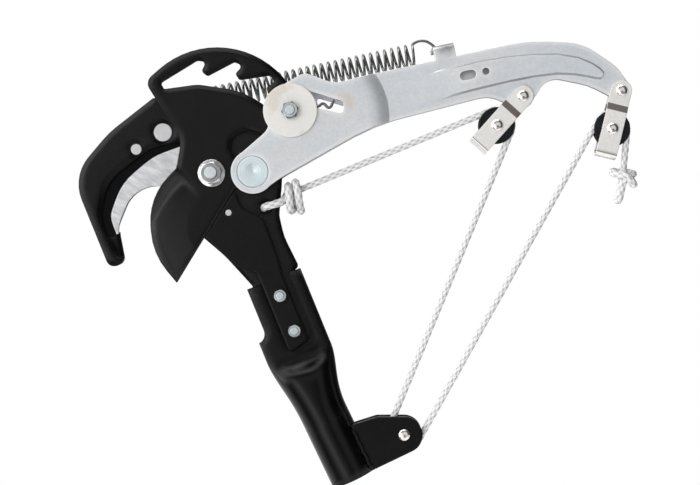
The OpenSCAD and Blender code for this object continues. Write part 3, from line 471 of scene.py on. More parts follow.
def domed_rivet(name, body, at, half, head_height, shank=2.5):
    """Radius R sin(a) at the depth h cos(a) before the strap for each dome, and the shank between
    the two. half is the distance from the head's middle plane to a dome's flat side."""
    angle = np.radians(np.r_[1.5, np.arange(6, 91, 6)])
    dome, drop = HEAD_RADIUS * np.sin(angle), head_height * np.cos(angle)
    depth = np.r_[-half - drop, -half + 0.01, half - 0.01, half + drop[::-1]]
    radius = np.r_[dome, shank, shank, dome[::-1]] * MM
    path = place(np.column_stack(
        [np.full(len(depth), at[0]), CORD_DEPTH + depth, np.full(len(depth), at[1])]))
    piece = tube(name + "_domes", path, np.repeat(radius[:, None], 48, 1), reference=(0, 0, 1))
    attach(piece, body)
    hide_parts(name)


domed_rivet("bracket_axle", "frame", lower_pulley, 7.05, 2.2)
domed_rivet("inner_swivel_rivet", "lever", INNER_SWIVEL, 4.25, 2.4)
domed_rivet("outer_swivel_rivet", "lever", OUTER_SWIVEL, 4.25, 2.4)
domed_rivet("inner_block_axle", "inner_block", inner_pulley, 5.95, 2.4)
domed_rivet("outer_block_axle", "outer_block", outer_pulley, 5.95, 2.4)

# %% [markdown]
# ## Smooth skins
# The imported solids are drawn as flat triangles, and each face is shaded by itself. On a pressed
# tube or a bent sheet the eye finds those facets at once. So such a piece gets a skin: the same
# mesh with its points joined and smooth shading, but not across sharp edges. The Weighted Normal
# modifier then lets large flat faces stay flat up to their rim.

# %% Skins that stand for the solids
def smooth_skin(node, body, sharp):
    """The node's own mesh with doubled points merged, smooth but for edges over an angle."""
    mesh = bpy.data.objects[node].data.copy()
    mesh.name = node + "_skin"
    if "custom_normal" in mesh.attributes:
        mesh.attributes.remove(mesh.attributes["custom_normal"])
    joined = bmesh.new()
    joined.from_mesh(mesh)
    bmesh.ops.remove_doubles(joined, verts=joined.verts, dist=1e-6)
    joined.to_mesh(mesh)
    joined.free()
    mesh.polygons.foreach_set("use_smooth", np.ones(len(mesh.polygons), bool))
    mesh.set_sharp_from_angle(angle=math.radians(sharp))
    piece = bpy.data.objects.new(mesh.name, mesh)
    bpy.context.collection.objects.link(piece)
    weighted = piece.modifiers.new("weighted", "WEIGHTED_NORMAL")
    weighted.keep_sharp, weighted.weight = True, 100
    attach(piece, body)
    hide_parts(node)
    print(piece.name, len(mesh.vertices), "points")


for node, body, slot, sharp in (
        ("socket_tube", "frame", "tube_coat", 65), ("lever_front_plate", "lever", "zinc", 30),
        ("lever_rear_plate", "lever", "zinc", 30), ("lever_pin", "frame", "zinc", 30)):
    smooth_skin(node, body, sharp)

# %% [markdown]
# ## Tools for finishes
# A finish is a tree of shader nodes. Wiring by hand takes many lines, so small helpers add a node,
# set its properties and link or fill its sockets. Effects that several finishes share are node
# groups. Their patterns read Object coordinates, which stay on the piece when it moves.

# %% Node helpers
def feed(tree, socket, value):
    """Links a socket to another node's output, or sets its own value."""
    if isinstance(value, bpy.types.NodeSocket):
        tree.links.new(value, socket)
    else:
        socket.default_value = value


def add(tree, kind, sockets=None, **settings):
    """A new node with its properties set. A socket's entry is a value or another node's output."""
    made = tree.nodes.new("ShaderNode" + kind)
    for key, value in settings.items():
        setattr(made, key, value)
    for key, value in (sockets or {}).items():
        feed(tree, made.inputs[key], value)
    return made


def effect(name, inputs, outputs):
    """An empty node group with named inputs {name: (kind, value)} and outputs {name: kind}."""
    tree = bpy.data.node_groups.new(name, "ShaderNodeTree")
    for key, (kind, value) in inputs.items():
        socket = tree.interface.new_socket(key, in_out="INPUT", socket_type="NodeSocket" + kind)
        socket.default_value = value
    for key, kind in outputs.items():
        tree.interface.new_socket(key, in_out="OUTPUT", socket_type="NodeSocket" + kind)
    return tree, tree.nodes.new("NodeGroupInput").outputs, tree.nodes.new("NodeGroupOutput").inputs


def use(tree, group, sockets):
    """A group placed in a material with its own values."""
    return add(tree, "Group", sockets, node_tree=group).outputs


# %% Edge: rounds sharp corners in the light, and marks where they are
edge_effect, given, out = effect(
    "edge", {"Round": ("Float", 0.0004), "Gain": ("Float", 4.0)},
    {"Normal": "Vector", "Edge": "Float"})
bevel = add(edge_effect, "Bevel", {"Radius": given["Round"]}, samples=8)
surface = add(edge_effect, "NewGeometry")
agree = add(edge_effect, "VectorMath",
            {0: bevel.outputs["Normal"], 1: surface.outputs["Normal"]}, operation="DOT_PRODUCT")
bent = add(edge_effect, "Math", {0: 1.0, 1: agree.outputs["Value"]}, operation="SUBTRACT")
strong = add(edge_effect, "Math", {0: bent.outputs[0], 1: given["Gain"]},
             operation="MULTIPLY", use_clamp=True)
edge_effect.links.new(bevel.outputs["Normal"], out["Normal"])
edge_effect.links.new(strong.outputs[0], out["Edge"])
print("effect", edge_effect.name)

# %% Soft edge: a broad rounding, for thick paint on plate and tube, and a mask of broad rims
soft_edge_effect, given, out = effect(
    "soft_edge", {"Broad": ("Float", 0.005), "Lift": ("Float", 3.0)},
    {"Normal": "Vector", "Edge": "Float"})
bevel = add(soft_edge_effect, "Bevel", {"Radius": given["Broad"]}, samples=8)
surface = add(soft_edge_effect, "NewGeometry").outputs["Normal"]
tilt = add(soft_edge_effect, "VectorMath", {0: bevel.outputs[0], 1: surface},
           operation="SUBTRACT").outputs[0]
more = add(soft_edge_effect, "VectorMath", {0: tilt, "Scale": given["Lift"]},
           operation="SCALE").outputs[0]
sum_up = add(soft_edge_effect, "VectorMath", {0: surface, 1: more}, operation="ADD").outputs[0]
rounded = add(soft_edge_effect, "VectorMath", {0: sum_up}, operation="NORMALIZE").outputs[0]
far = add(soft_edge_effect, "VectorMath", {0: tilt}, operation="LENGTH").outputs["Value"]
strong = add(soft_edge_effect, "MapRange", {"Value": far, "From Min": 0.45, "From Max": 0.75})
soft_edge_effect.links.new(rounded, out["Normal"])
soft_edge_effect.links.new(strong.outputs[0], out["Edge"])
print("effect", soft_edge_effect.name)

# %% Lean: how far a face is turned away from the plates' plane
lean_effect, given, out = effect(
    "lean", {"Start": ("Float", 0.95), "Full": ("Float", 0.75)}, {"Lean": "Float"})
true_normal = add(lean_effect, "NewGeometry").outputs["True Normal"]
facing = add(lean_effect, "SeparateXYZ", {0: true_normal}).outputs["Y"]
level = add(lean_effect, "Math", {0: facing}, operation="ABSOLUTE").outputs[0]
lean = add(lean_effect, "MapRange",
           {"Value": level, "From Min": given["Start"], "From Max": given["Full"]})
lean_effect.links.new(lean.outputs[0], out["Lean"])
print("effect", lean_effect.name)

# %% Cloud: slow patches and a fine grain
cloud_effect, given, out = effect(
    "cloud", {"Patch Scale": ("Float", 60.0), "Grain Scale": ("Float", 1500.0),
              "Detail": ("Float", 3.0)},
    {"Patch": "Float", "Grain": "Float"})
where = add(cloud_effect, "TexCoord").outputs["Object"]
patch = add(cloud_effect, "TexNoise",
            {"Vector": where, "Scale": given["Patch Scale"], "Detail": given["Detail"]})
grain = add(cloud_effect, "TexNoise",
            {"Vector": where, "Scale": given["Grain Scale"], "Detail": 2.0})
spread = add(cloud_effect, "MapRange",
             {"Value": patch.outputs[0], "From Min": 0.3, "From Max": 0.7})
spread_grain = add(cloud_effect, "MapRange",
                   {"Value": grain.outputs[0], "From Min": 0.3, "From Max": 0.7})
cloud_effect.links.new(spread.outputs[0], out["Patch"])
cloud_effect.links.new(spread_grain.outputs[0], out["Grain"])
print("effect", cloud_effect.name)

# %% Strokes: long fine marks in one direction, from grinding or rolling
stroke_effect, given, out = effect(
    "strokes", {"Turn": ("Vector", (0, 0, 0)), "Stretch": ("Vector", (1, 1, 12)),
                "Scale": ("Float", 300.0)},
    {"Strokes": "Float"})
where = add(stroke_effect, "TexCoord").outputs["Object"]
turned = add(stroke_effect, "VectorRotate", {"Vector": where, "Rotation": given["Turn"]},
             rotation_type="EULER_XYZ")
long_way = add(stroke_effect, "VectorMath", {0: turned.outputs[0], 1: given["Stretch"]},
               operation="MULTIPLY")
marks = add(stroke_effect, "TexNoise",
            {"Vector": long_way.outputs[0], "Scale": given["Scale"], "Detail": 4.0})
clear_marks = add(stroke_effect, "MapRange",
                  {"Value": marks.outputs[0], "From Min": 0.32, "From Max": 0.68})
stroke_effect.links.new(clear_marks.outputs[0], out["Strokes"])
print("effect", stroke_effect.name)

# %% Spot: a soft round patch at a place, broken up by noise
spot_effect, given, out = effect(
    "spot", {"Place": ("Vector", (0, 0, 0)), "Inner": ("Float", 0.002),
             "Outer": ("Float", 0.008)},
    {"Spot": "Float"})
where = add(spot_effect, "TexCoord").outputs["Object"]
away = add(spot_effect, "VectorMath", {0: where, 1: given["Place"]}, operation="DISTANCE")
ragged = add(spot_effect, "TexNoise", {"Vector": where, "Scale": 260.0, "Detail": 3.0})
push = add(spot_effect, "MapRange", {"Value": ragged.outputs[0], "To Min": -0.003, "To Max": 0.003})
ragged_away = add(spot_effect, "Math", {0: away.outputs["Value"], 1: push.outputs[0]},
                  operation="ADD")
fade = add(spot_effect, "MapRange", {"Value": ragged_away.outputs[0], "From Min": given["Outer"],
                                     "From Max": given["Inner"]}, interpolation_type="SMOOTHSTEP")
spot_effect.links.new(fade.outputs[0], out["Spot"])
print("effect", spot_effect.name)

# %% Rings: turning marks round an axis along Y
ring_effect, given, out = effect(
    "rings", {"Centre": ("Vector", (0, 0, 0)), "Spacing": ("Float", 0.0006)}, {"Rings": "Float"})
where = add(ring_effect, "TexCoord").outputs["Object"]
from_axis = add(ring_effect, "VectorMath", {0: where, 1: given["Centre"]}, operation="SUBTRACT")
in_plane = add(ring_effect, "VectorMath", {0: from_axis.outputs[0], 1: (1, 0, 1)},
               operation="MULTIPLY")
radius = add(ring_effect, "VectorMath", {0: in_plane.outputs[0]}, operation="LENGTH")
count = add(ring_effect, "Math", {0: radius.outputs["Value"], 1: given["Spacing"]},
            operation="DIVIDE")
unevenly = add(ring_effect, "TexNoise", {"Vector": where, "Scale": 90.0, "Detail": 2.0})
phase = add(ring_effect, "Math", {0: unevenly.outputs[0], 1: 2.5, 2: count.outputs[0]},
            operation="MULTIPLY_ADD")
groove = add(ring_effect, "Math", {0: phase.outputs[0], 1: 1.0}, operation="PINGPONG")
ring_effect.links.new(groove.outputs[0], out["Rings"])
print("effect", ring_effect.name)

# %% A material with its principled shader, and short forms for mixing
def finish(name, **shader):
    """A new material. Numbers that are the same all over are set on the shader itself."""
    material = bpy.data.materials.new(name)
    material.use_nodes = True
    tree = material.node_tree
    skin = tree.nodes["Principled BSDF"]
    for key, value in shader.items():
        skin.inputs[key.replace("_", " ")].default_value = value
    print("finish", name)
    return material, tree, skin


def blend_colours(tree, share, first, second):
    """A colour that goes from the first to the second as share goes from 0 to 1."""
    made = add(tree, "Mix", data_type="RGBA")
    for number, value in ((0, share), (6, first), (7, second)):
        feed(tree, made.inputs[number], (*value, 1) if isinstance(value, tuple) else value)
    return made.outputs[2]


def span(tree, share, low, high):
    """A number that goes from low to high as share goes from 0 to 1."""
    return add(tree, "MapRange", {"Value": share, "To Min": low, "To Max": high}).outputs[0]


def relief_normal(tree, height, depth, normal=None):
    """A Bump node's normal: a height from 0 to 1 stands depth metres high."""
    sockets = {"Height": height, "Distance": depth, "Strength": 1.0}
    if normal is not None:
        sockets["Normal"] = normal
    return add(tree, "Bump", sockets).outputs[0]


def link(tree, skin, **sources):
    """Links outputs to the shader's sockets by name."""
    for key, source in sources.items():
        tree.links.new(source, skin.inputs[key.replace("_", " ")])


# %% [markdown]
# ## Black finishes
# Frame, blade and bracket have a thin baked coat with a fine, dull grain, and a painted highlight
# makes it a little paler along the edges. The socket tube is smoother and shines in long soft
# streaks, and its edges get a painted highlight too. Both are nearly black, so most of what shows
# is the light on them, and the grain is in the bump.

# %% Black coat of the plates
PIVOT_LEVEL = BLADE_PIVOT[2] * MM
LIFT_BAND = 0.012


def black_coat(name, shine, rough, broad, lift, low_lift=None):
    """Two near blacks in slow patches, fine grain in the relief, and edges made paler by a painted
    highlight. Where low_lift is given, it is the lift below the blade's pivot, and the other one is
    for above."""
    material, tree, skin = finish(name, Specular_IOR_Level=shine)
    if low_lift is not None:
        height = add(tree, "SeparateXYZ", {0: add(tree, "TexCoord").outputs["Object"]}).outputs["Z"]
        lift = add(tree, "MapRange", {"Value": height, "From Min": PIVOT_LEVEL - LIFT_BAND,
                                      "From Max": PIVOT_LEVEL + LIFT_BAND,
                                      "To Min": low_lift, "To Max": lift}).outputs[0]
    cloud = use(tree, cloud_effect, {"Patch Scale": 45.0, "Grain Scale": 2400.0})
    edge = use(tree, soft_edge_effect, {"Broad": broad, "Lift": lift})
    body = blend_colours(tree, cloud["Patch"], (0.0035, 0.0036, 0.0038), (0.0055, 0.0056, 0.0058))
    # Painted highlight: the broad rim mask, broken up by the grain, makes the coat paler on every
    # rim.
    painted_edge_highlight = add(tree, "Math", {0: edge["Edge"], 1: cloud["Grain"]},
                 operation="MULTIPLY").outputs[0]
    link(tree, skin,
         Base_Color=blend_colours(tree, span(tree, painted_edge_highlight, 0.0, 0.7), body, (0.06, 0.06, 0.062)),
         Roughness=span(tree, cloud["Grain"], rough - 0.06, rough + 0.06),
         Normal=relief_normal(tree, cloud["Grain"], 0.00002, edge["Normal"]))
    return material


frame_coat = black_coat("frame_coat", 0.24, 0.30, 0.007, 3.0)
plate_coat = black_coat("plate_coat", 0.18, 0.30, 0.002, 1.6)
blade_coat = black_coat("blade_coat", 0.2, 0.32, 0.006, 3.2, low_lift=0.5)

# %% Glossy coat of the tube
tube_coat, tree, skin = finish("tube_coat", Specular_IOR_Level=0.22)
cloud = use(tree, cloud_effect, {"Patch Scale": 30.0, "Grain Scale": 700.0})
edge = use(tree, soft_edge_effect, {"Broad": 0.009, "Lift": 1.0})
body = blend_colours(tree, cloud["Patch"], (0.0012, 0.0012, 0.0013), (0.0022, 0.0022, 0.0024))
# Painted highlight: the broad rim mask makes the tube's edges paler.
link(tree, skin,
     Base_Color=blend_colours(tree, edge["Edge"], body, (0.02, 0.02, 0.021)),
     Roughness=span(tree, cloud["Patch"], 0.16, 0.24),
     Normal=relief_normal(tree, cloud["Grain"], 0.000008, edge["Normal"]))

# %% Moulded pulleys
pulley_plastic, tree, skin = finish("pulley_plastic", Specular_IOR_Level=0.2)
cloud = use(tree, cloud_effect, {"Patch Scale": 120.0, "Grain Scale": 1800.0})
edge = use(tree, edge_effect, {"Round": 0.0004, "Gain": 3.0})
link(tree, skin,
     Base_Color=blend_colours(tree, cloud["Patch"], (0.004, 0.005, 0.007), (0.008, 0.010, 0.013)),
     Roughness=span(tree, cloud["Grain"], 0.36, 0.5),
     Normal=relief_normal(tree, cloud["Grain"], 0.00001, edge["Normal"]))

# %% [markdown]
# ## Bright finishes
# The lever's sheets are zinc plated: pale, a little blue, cloudy, with grey cut edges. Their rims
# get a painted white highlight, and the rib's flanks and the tab get painted shade. Bolts and nuts
# have the same plating on smoother steel, with painted shade at their rims. Washers and straps are
# nickel, which is warmer, with faint brown stains and painted shade on a strap's step, and the
# rivets' domes are polished. The counter blade's edge is bare ground steel with grinding strokes.

# %% Zinc on sheet, with a stain where the window was punched, painted shade on the tab and painted highlights on the rims
zinc_sheet, tree, skin = finish("zinc_sheet", Metallic=0.6)
cloud = use(tree, cloud_effect, {"Patch Scale": 34.0, "Grain Scale": 520.0, "Detail": 5.0})
tint = use(tree, cloud_effect, {"Patch Scale": 12.0, "Grain Scale": 200.0, "Detail": 2.0})
edge = use(tree, edge_effect, {"Round": 0.0008, "Gain": 2.0})
cut_edges_and_flank_shade = use(tree, lean_effect, {"Start": 0.76, "Full": 0.66})
stain = use(tree, spot_effect, {"Place": tuple(place([[100, -9.9, 4]])[0]),
                                "Inner": 0.0, "Outer": 0.009})
shade = use(tree, spot_effect, {"Place": tuple(place([[177, -2.1, 12]])[0]),
                                "Inner": 0.003, "Outer": 0.012})
warm = blend_colours(tree, tint["Patch"], (0.71, 0.79, 0.865), (0.865, 0.87, 0.875))
body = blend_colours(tree, span(tree, cloud["Patch"], 0.0, 0.4), warm, (0.92, 0.945, 0.97))
mottled = blend_colours(tree, span(tree, tint["Grain"], 0.0, 0.2), body, (0.62, 0.68, 0.76))
grainy = blend_colours(tree, span(tree, cloud["Grain"], 0.0, 0.22), mottled, (0.52, 0.54, 0.57))
stained = blend_colours(tree, span(tree, stain["Spot"], 0.0, 0.4), grainy, (0.72, 0.50, 0.34))
# Painted highlight: a broad rim mask paints the sheet white along its rims.
rim = use(tree, soft_edge_effect, {"Broad": 0.008, "Lift": 0.0})
painted_rim_highlight = blend_colours(tree, span(tree, rim["Edge"], 0.0, 0.75), stained, (1.0, 1.0, 1.0))
# Painted shade: a grey patch is painted on the tab, which is curled back.
shaded = blend_colours(tree, span(tree, shade["Spot"], 0.0, 0.85), painted_rim_highlight, (0.22, 0.22, 0.22))
# Faces turned far from the plane go grey: the cut edges' own tone, and painted shade on the rib's
# steep flanks.
link(tree, skin,
     Base_Color=blend_colours(tree, span(tree, cut_edges_and_flank_shade["Lean"], 0.0, 0.7), shaded, (0.22, 0.215, 0.21)),
     Roughness=span(tree, cloud["Grain"], 0.40, 0.52),
     Normal=relief_normal(tree, cloud["Grain"], 0.000014, edge["Normal"]))

# %% Zinc on bolts and nuts, and the polished domes of the rivets
def bright_metal(name, dark, pale, rim, slope, metal, rough):
    """Metal in two tones by patches. The tone at its rims is painted shade, and the tone on sloping
    faces is painted light on some finishes and painted shade on others.
    """
    material, tree, skin = finish(name, Metallic=metal)
    cloud = use(tree, cloud_effect, {"Patch Scale": 150.0, "Grain Scale": 1600.0})
    edge = use(tree, edge_effect, {"Round": 0.0005, "Gain": 3.0})
    lean = use(tree, lean_effect, {"Start": 0.99, "Full": 0.92})
    body = blend_colours(tree, lean["Lean"], blend_colours(tree, cloud["Patch"], dark, pale), slope)
    link(tree, skin,
         Base_Color=blend_colours(tree, span(tree, edge["Edge"], 0.0, 0.75), body, rim),
         Roughness=span(tree, cloud["Patch"], rough - 0.06, rough + 0.06),
         Normal=relief_normal(tree, cloud["Grain"], 0.000006, edge["Normal"]))
    return material


# Each rim colour below is painted shade along the edges.
zinc_bolt = bright_metal(
    "zinc_bolt", dark=(0.78, 0.85, 0.88), pale=(0.95, 0.98, 0.99),
    rim=(0.20, 0.22, 0.24), slope=(0.8, 0.84, 0.86), metal=1.0, rough=0.28)
# Painted shade: the nut's dark rims and very dark chamfers outline the hex.
zinc_nut = bright_metal(
    "zinc_nut", dark=(0.46, 0.53, 0.56), pale=(0.78, 0.84, 0.87),
    rim=(0.12, 0.135, 0.15), slope=(0.07, 0.08, 0.09), metal=1.0, rough=0.2)
# Painted light and shade: the flat top of the hex is dark and the leaning flange is pale.
flange_nut = bright_metal(
    "flange_nut", dark=(0.30, 0.31, 0.32), pale=(0.52, 0.53, 0.54),
    rim=(0.10, 0.10, 0.11), slope=(0.93, 0.93, 0.93), metal=0.9, rough=0.2)
rivet_dome = bright_metal(
    "rivet_dome", dark=(0.88, 0.84, 0.81), pale=(0.96, 0.93, 0.90),
    rim=(0.40, 0.30, 0.25), slope=(0.92, 0.88, 0.85), metal=0.95, rough=0.2)

# %% Turned faces: the lever's pin and the ground rivets
def turned_face(name, centre, dark, pale, spacing, groove_depth):
    """Metal with rings round one axis: they tint it a little and stand up in the relief."""
    material, tree, skin = finish(name, Metallic=0.4)
    ring = use(tree, ring_effect, {"Centre": tuple(place([centre])[0]), "Spacing": spacing})
    cloud = use(tree, cloud_effect, {"Patch Scale": 140.0, "Grain Scale": 1400.0})
    edge = use(tree, edge_effect, {"Round": 0.0005, "Gain": 2.5})
    tone = add(tree, "Math", {0: ring["Rings"], 1: cloud["Patch"]}, operation="MULTIPLY").outputs[0]
    link(tree, skin,
         Base_Color=blend_colours(tree, tone, dark, pale),
         Roughness=span(tree, cloud["Patch"], 0.30, 0.42),
         Normal=relief_normal(tree, ring["Rings"], groove_depth, edge["Normal"]))
    return material


pin_face = turned_face(
    "pin_face", [25, 0, -11], dark=(0.70, 0.81, 0.85), pale=(0.90, 0.98, 1.0),
    spacing=0.0009, groove_depth=0.00002)
rivet_face = turned_face(
    "rivet_face", [-17.7, 0, 38.7], dark=(0.62, 0.62, 0.63), pale=(0.80, 0.80, 0.81),
    spacing=0.0005, groove_depth=0.00003)

# %% Nickel of washers and straps
def nickel(name, dark, pale, metal, smooth, rough, stain_share):
    """Warm bright metal in two tones by grain, faintly brown where the slow patches are high. Its
    rims are brown. What leans a little out of the plane gets painted shade: the step of a bent
    strap."""
    material, tree, skin = finish(name, Metallic=metal)
    cloud = use(tree, cloud_effect, {"Patch Scale": 55.0, "Grain Scale": 500.0, "Detail": 3.0})
    edge = use(tree, edge_effect, {"Round": 0.0007, "Gain": 2.0})
    body = blend_colours(tree, cloud["Grain"], dark, pale)
    patch = add(tree, "MapRange", {"Value": cloud["Patch"], "From Min": 0.82, "From Max": 1.0,
                                   "To Max": stain_share}).outputs[0]
    stained = blend_colours(tree, patch, body, (0.72, 0.58, 0.44))
    # Painted shade: the slightly leaning step of a bent strap turns dark brown, but the steeper
    # fold does not.
    step = use(tree, lean_effect, {"Start": 0.985, "Full": 0.945})
    fold = span(tree, use(tree, lean_effect, {"Start": 0.92, "Full": 0.86})["Lean"], 0.9, 0.0)
    bent = add(tree, "Math", {0: step["Lean"], 1: fold}, operation="MULTIPLY").outputs[0]
    rimmed = blend_colours(tree, span(tree, edge["Edge"], 0.0, 0.75), stained, (0.50, 0.36, 0.26))
    link(tree, skin,
         Base_Color=blend_colours(tree, bent, rimmed, (0.17, 0.14, 0.12)),
         Roughness=span(tree, cloud["Patch"], smooth, rough),
         Normal=edge["Normal"])
    return material


washer_nickel = nickel(
    "washer_nickel", dark=(0.91, 0.90, 0.86), pale=(0.95, 0.94, 0.90), metal=0.3,
    smooth=0.30, rough=0.40, stain_share=0.35)
strap_nickel = nickel(
    "strap_nickel", dark=(0.90, 0.885, 0.86), pale=(0.97, 0.955, 0.93), metal=0.45,
    smooth=0.24, rough=0.34, stain_share=0.15)

# %% Ground steel of the counter blade's edge, and the black coat on the rest of it
GROUND_DEPTH = -0.001
ground_steel, tree, skin = finish("ground_steel", Specular_IOR_Level=0.08)
strokes = use(tree, stroke_effect, {"Turn": (0, -0.9, 0), "Stretch": (1, 1, 3.5), "Scale": 95.0})
cloud = use(tree, cloud_effect, {"Patch Scale": 60.0, "Grain Scale": 800.0})
edge = use(tree, edge_effect, {"Round": 0.0004, "Gain": 3.0})
depth = add(tree, "SeparateXYZ", {0: add(tree, "TexCoord").outputs["Object"]}).outputs["Y"]
bare = add(tree, "MapRange", {"Value": depth, "From Min": GROUND_DEPTH,
                              "From Max": GROUND_DEPTH - 0.0005}).outputs[0]
body = blend_colours(tree, strokes["Strokes"], (0.50, 0.51, 0.53), (0.92, 0.93, 0.95))
steel = blend_colours(tree, span(tree, cloud["Patch"], 0.0, 0.45), body, (0.84, 0.85, 0.87))
link(tree, skin,
     Base_Color=blend_colours(tree, bare, (0.003, 0.003, 0.0032), steel),
     Metallic=span(tree, bare, 0.0, 0.7),
     Roughness=span(tree, strokes["Strokes"], 0.3, 0.46),
     Normal=relief_normal(tree, strokes["Strokes"], 0.00002, edge["Normal"]))

# %% Spring wire
spring_steel, tree, skin = finish("spring_steel", Metallic=1.0)
cloud = use(tree, cloud_effect, {"Patch Scale": 200.0, "Grain Scale": 1500.0})
link(tree, skin,
     Base_Color=blend_colours(tree, cloud["Patch"], (0.14, 0.14, 0.14), (0.31, 0.31, 0.305)),
     Roughness=span(tree, cloud["Grain"], 0.16, 0.26),
     Normal=relief_normal(tree, cloud["Grain"], 0.000006))

# %% [markdown]
# ## White cord
# The braid's own relief is kept on the mesh as a number. Low places between the strands are
# greyer, as painted shade where little light gets in. What turns away from the eye is greyer too,
# as painted shade. A fine noise stands for the single threads.

# %% Braided white
cord_white, tree, skin = finish("cord_white", Specular_IOR_Level=0.2, Sheen_Weight=0.15)
relief = add(tree, "Attribute", attribute_name="relief").outputs["Fac"]
cloud = use(tree, cloud_effect, {"Patch Scale": 160.0, "Grain Scale": 3200.0})
# Painted shade: low places of the braid are greyer.
open_face = add(tree, "MapRange", {"Value": relief, "From Min": 0.25, "From Max": 0.85}).outputs[0]
threads = blend_colours(tree, span(tree, cloud["Grain"], 0.0, 0.25),
                        (0.95, 0.95, 0.94), (0.84, 0.84, 0.85))
# Painted shade: where the cord turns away from the eye it is greyer.
turned_away = add(tree, "LayerWeight").outputs["Facing"]
rim = add(tree, "MapRange", {"Value": turned_away, "From Min": 0.5, "From Max": 0.95}).outputs[0]
body = blend_colours(tree, open_face, (0.50, 0.50, 0.51), threads)
link(tree, skin,
     Base_Color=blend_colours(tree, rim, body, (0.52, 0.52, 0.54)),
     Roughness=span(tree, cloud["Patch"], 0.6, 0.8),
     Normal=relief_normal(tree, cloud["Grain"], 0.00005))

# %% Give every piece its finish
finishes = {
    frame_coat: ["hook_frame"],
    plate_coat: ["stop_plate", "cord_bracket", "bracket_weld_front", "bracket_weld_rear"],
    blade_coat: ["blade"],
    tube_coat: ["socket_tube_skin"],
    pulley_plastic: ["lower_sheave", "inner_sheave", "outer_sheave"],
    zinc_sheet: ["lever_front_plate_skin", "lever_rear_plate_skin"],
    zinc_bolt: ["neck_bolts", "spring_post", "blade_bolt", "pawl_bolt", "lever_pin_collar"],
    flange_nut: ["blade_flange_nut"],
    zinc_nut: ["neck_nuts", "pawl_nut"],
    rivet_dome: ["bracket_axle_domes", "inner_block_axle_domes", "outer_block_axle_domes",
                 "inner_swivel_rivet_domes", "outer_swivel_rivet_domes"],
    pin_face: ["lever_pin_skin"],
    rivet_face: ["counter_rivets", "stop_rivet", "blade_bush", "pawl_sleeve"],
    washer_nickel: ["pawl_front_washer", "pawl_rear_washer"],
    strap_nickel: ["inner_block_strap", "outer_block_strap"],
    ground_steel: ["counter_blade"],
    spring_steel: ["return_spring_wire", "pawl_spring_wire"],
    cord_white: [*cord, "anchor_tie", "end_tie"],
}
for material, names in finishes.items():
    for name in names:
        piece = bpy.data.objects[name]
        if piece.material_slots:
            piece.material_slots[0].material = material
        else:
            piece.data.materials.append(material)
print("finishes", len(finishes), "on", sum(map(len, finishes.values())), "pieces")

# %% [markdown]
# ## Studio
# The photograph has a pure white ground, so the world is white where the camera looks past the
# object. What lights the object is a dark room with a pale screen at the viewer's side, a
# brighter strip left of it, a bright panel at the upper left and the dark camera stand. Gloss
# mirrors the white ground only above, as if a black flag stood at the lower right: metal shows its
# form when it mirrors both light and dark. A lamp that isn't mirrored fills the matt colours, and
# a pale floor lies well below.

# %% World and its helpers
world = bpy.data.worlds.new("studio")
bpy.context.scene.world = world
world.use_nodes = True
tree = world.node_tree
direction = add(tree, "TexCoord").outputs["Generated"]
facing = add(tree, "SeparateXYZ", {0: direction}).outputs


def rise(value, low, high, top=1.0):
    """A smooth step from 0, where the value is low, to top, where it is high."""
    return add(tree, "MapRange", {"Value": value, "From Min": low, "From Max": high, "To Max": top},
               interpolation_type="SMOOTHSTEP").outputs[0]


def pair(kind, first, second):
    """Two numbers put together by a Math node."""
    return add(tree, "Math", {0: first, 1: second}, operation=kind).outputs[0]


def along(way):
    """How far the view direction points along a way: their dot product."""
    return add(tree, "VectorMath", {0: direction, 1: way}, operation="DOT_PRODUCT").outputs["Value"]


print("world", world.name)

# %% What lights the object
DARK = 0.04
FRONT = 0.71
STRIP = 2.5
UPPER = 2.0
STAND_WAY = (0.05, -0.95, -0.3)
SLANT_WAY = (-0.4, 0, 0.92)
height = add(tree, "Math", {0: facing["Z"]}, operation="ABSOLUTE").outputs[0]
level = rise(height, 0.85, 0.3)
front = pair("MULTIPLY", rise(facing["Y"], -0.55, -0.8, FRONT), rise(facing["X"], 0.85, 0.55))
strip = pair("MULTIPLY", rise(facing["X"], -0.22, -0.6, STRIP), rise(facing["X"], -1.0, -0.5))
strip = pair("MULTIPLY", strip, rise(facing["Y"], 0.0, -0.3))
soft_box = pair("MULTIPLY", pair("MAXIMUM", front, strip), level)
soft_box = pair("MULTIPLY", soft_box, rise(along(STAND_WAY), 0.985, 0.955))
slant = along(SLANT_WAY)
upper = pair("MULTIPLY", rise(slant, 0.25, 0.6, UPPER), rise(facing["Y"], -0.65, 0.0))
sweep = pair("MULTIPLY", rise(facing["Y"], -0.1, 0.2), rise(slant, -0.5, 0.2))
print("screen", FRONT, "strip", STRIP, "panel", UPPER, "dark", DARK)

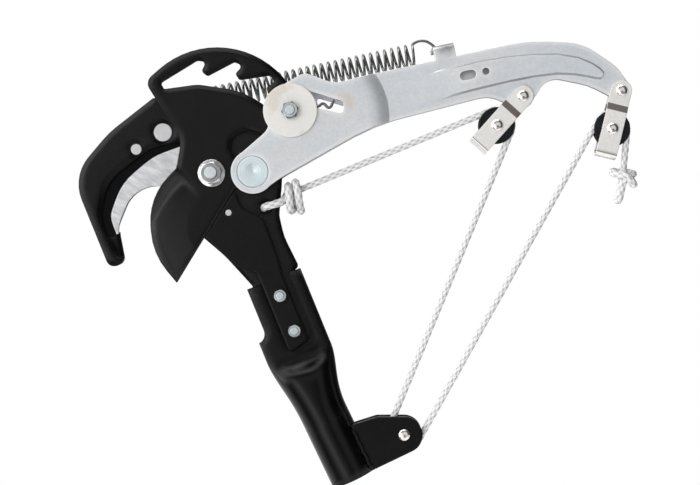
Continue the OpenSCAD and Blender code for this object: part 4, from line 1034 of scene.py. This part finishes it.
# %% What gloss and the camera see
UPPER_IN_GLOSS = 2.4
rays = add(tree, "LightPath").outputs
upper = pair("MULTIPLY", upper, span(tree, rays["Is Glossy Ray"], 1.0, UPPER_IN_GLOSS))
room = pair("MAXIMUM", soft_box, pair("MAXIMUM", upper, DARK))
glossy = pair("MULTIPLY", rays["Is Glossy Ray"], sweep)
past = pair("MAXIMUM", pair("MAXIMUM", rays["Is Camera Ray"], rays["Is Transmission Ray"]), glossy)
studio = add(tree, "Mix", {0: past, 2: room, 3: 1.0}, data_type="FLOAT").outputs[0]
tree.links.new(studio, tree.nodes["Background"].inputs["Color"])
print("panel in gloss", UPPER * UPPER_IN_GLOSS)

# %% Lamp that fills the matt colours, and isn't mirrored
FILL_PLACE = np.array([-0.7, -2.2, 0.9])
fill = bpy.data.lights.new("fill_lamp", "AREA")
fill.size, fill.energy = 1.4, 20.0
fill_lamp = bpy.data.objects.new("fill_lamp", fill)
bpy.context.collection.objects.link(fill_lamp)
fill_lamp.visible_glossy = False
back = unit(FILL_PLACE)
side = unit(np.cross([0.1, 0.2, 1.0], back))
set_up(fill_lamp, side, np.cross(back, side), back, view_centre + FILL_PLACE)
print("lamp", fill.energy, "W")

# %% Floor
FLOOR_LEVEL = -0.25
FLOOR_MIDDLE = 0.1
FLOOR_HALF = 0.6
FLOOR_REACH = 0.52
floor_corners = FLOOR_HALF * np.array([[-1, -1], [1, -1], [1, 1], [-1, 1]])
floor_mesh = bpy.data.meshes.new("floor")
floor_mesh.from_pydata([(x + FLOOR_MIDDLE, y, FLOOR_LEVEL) for x, y in floor_corners.tolist()],
                       [], [(0, 1, 2, 3)])
floor = bpy.data.objects.new("floor", floor_mesh)
bpy.context.collection.objects.link(floor)
floor_paint, tree, skin = finish("floor_paint", Roughness=0.9, Specular_IOR_Level=0.1)
skin.inputs["Base Color"].default_value = (0.86, 0.86, 0.86, 1)
spot = use(tree, spot_effect, {"Place": (FLOOR_MIDDLE, 0, FLOOR_LEVEL),
                               "Inner": 0.2, "Outer": FLOOR_REACH})
tree.links.new(spot["Spot"], skin.inputs["Alpha"])
floor_mesh.materials.append(floor_paint)

# %% View transform
bpy.context.scene.view_settings.view_transform = "Standard"
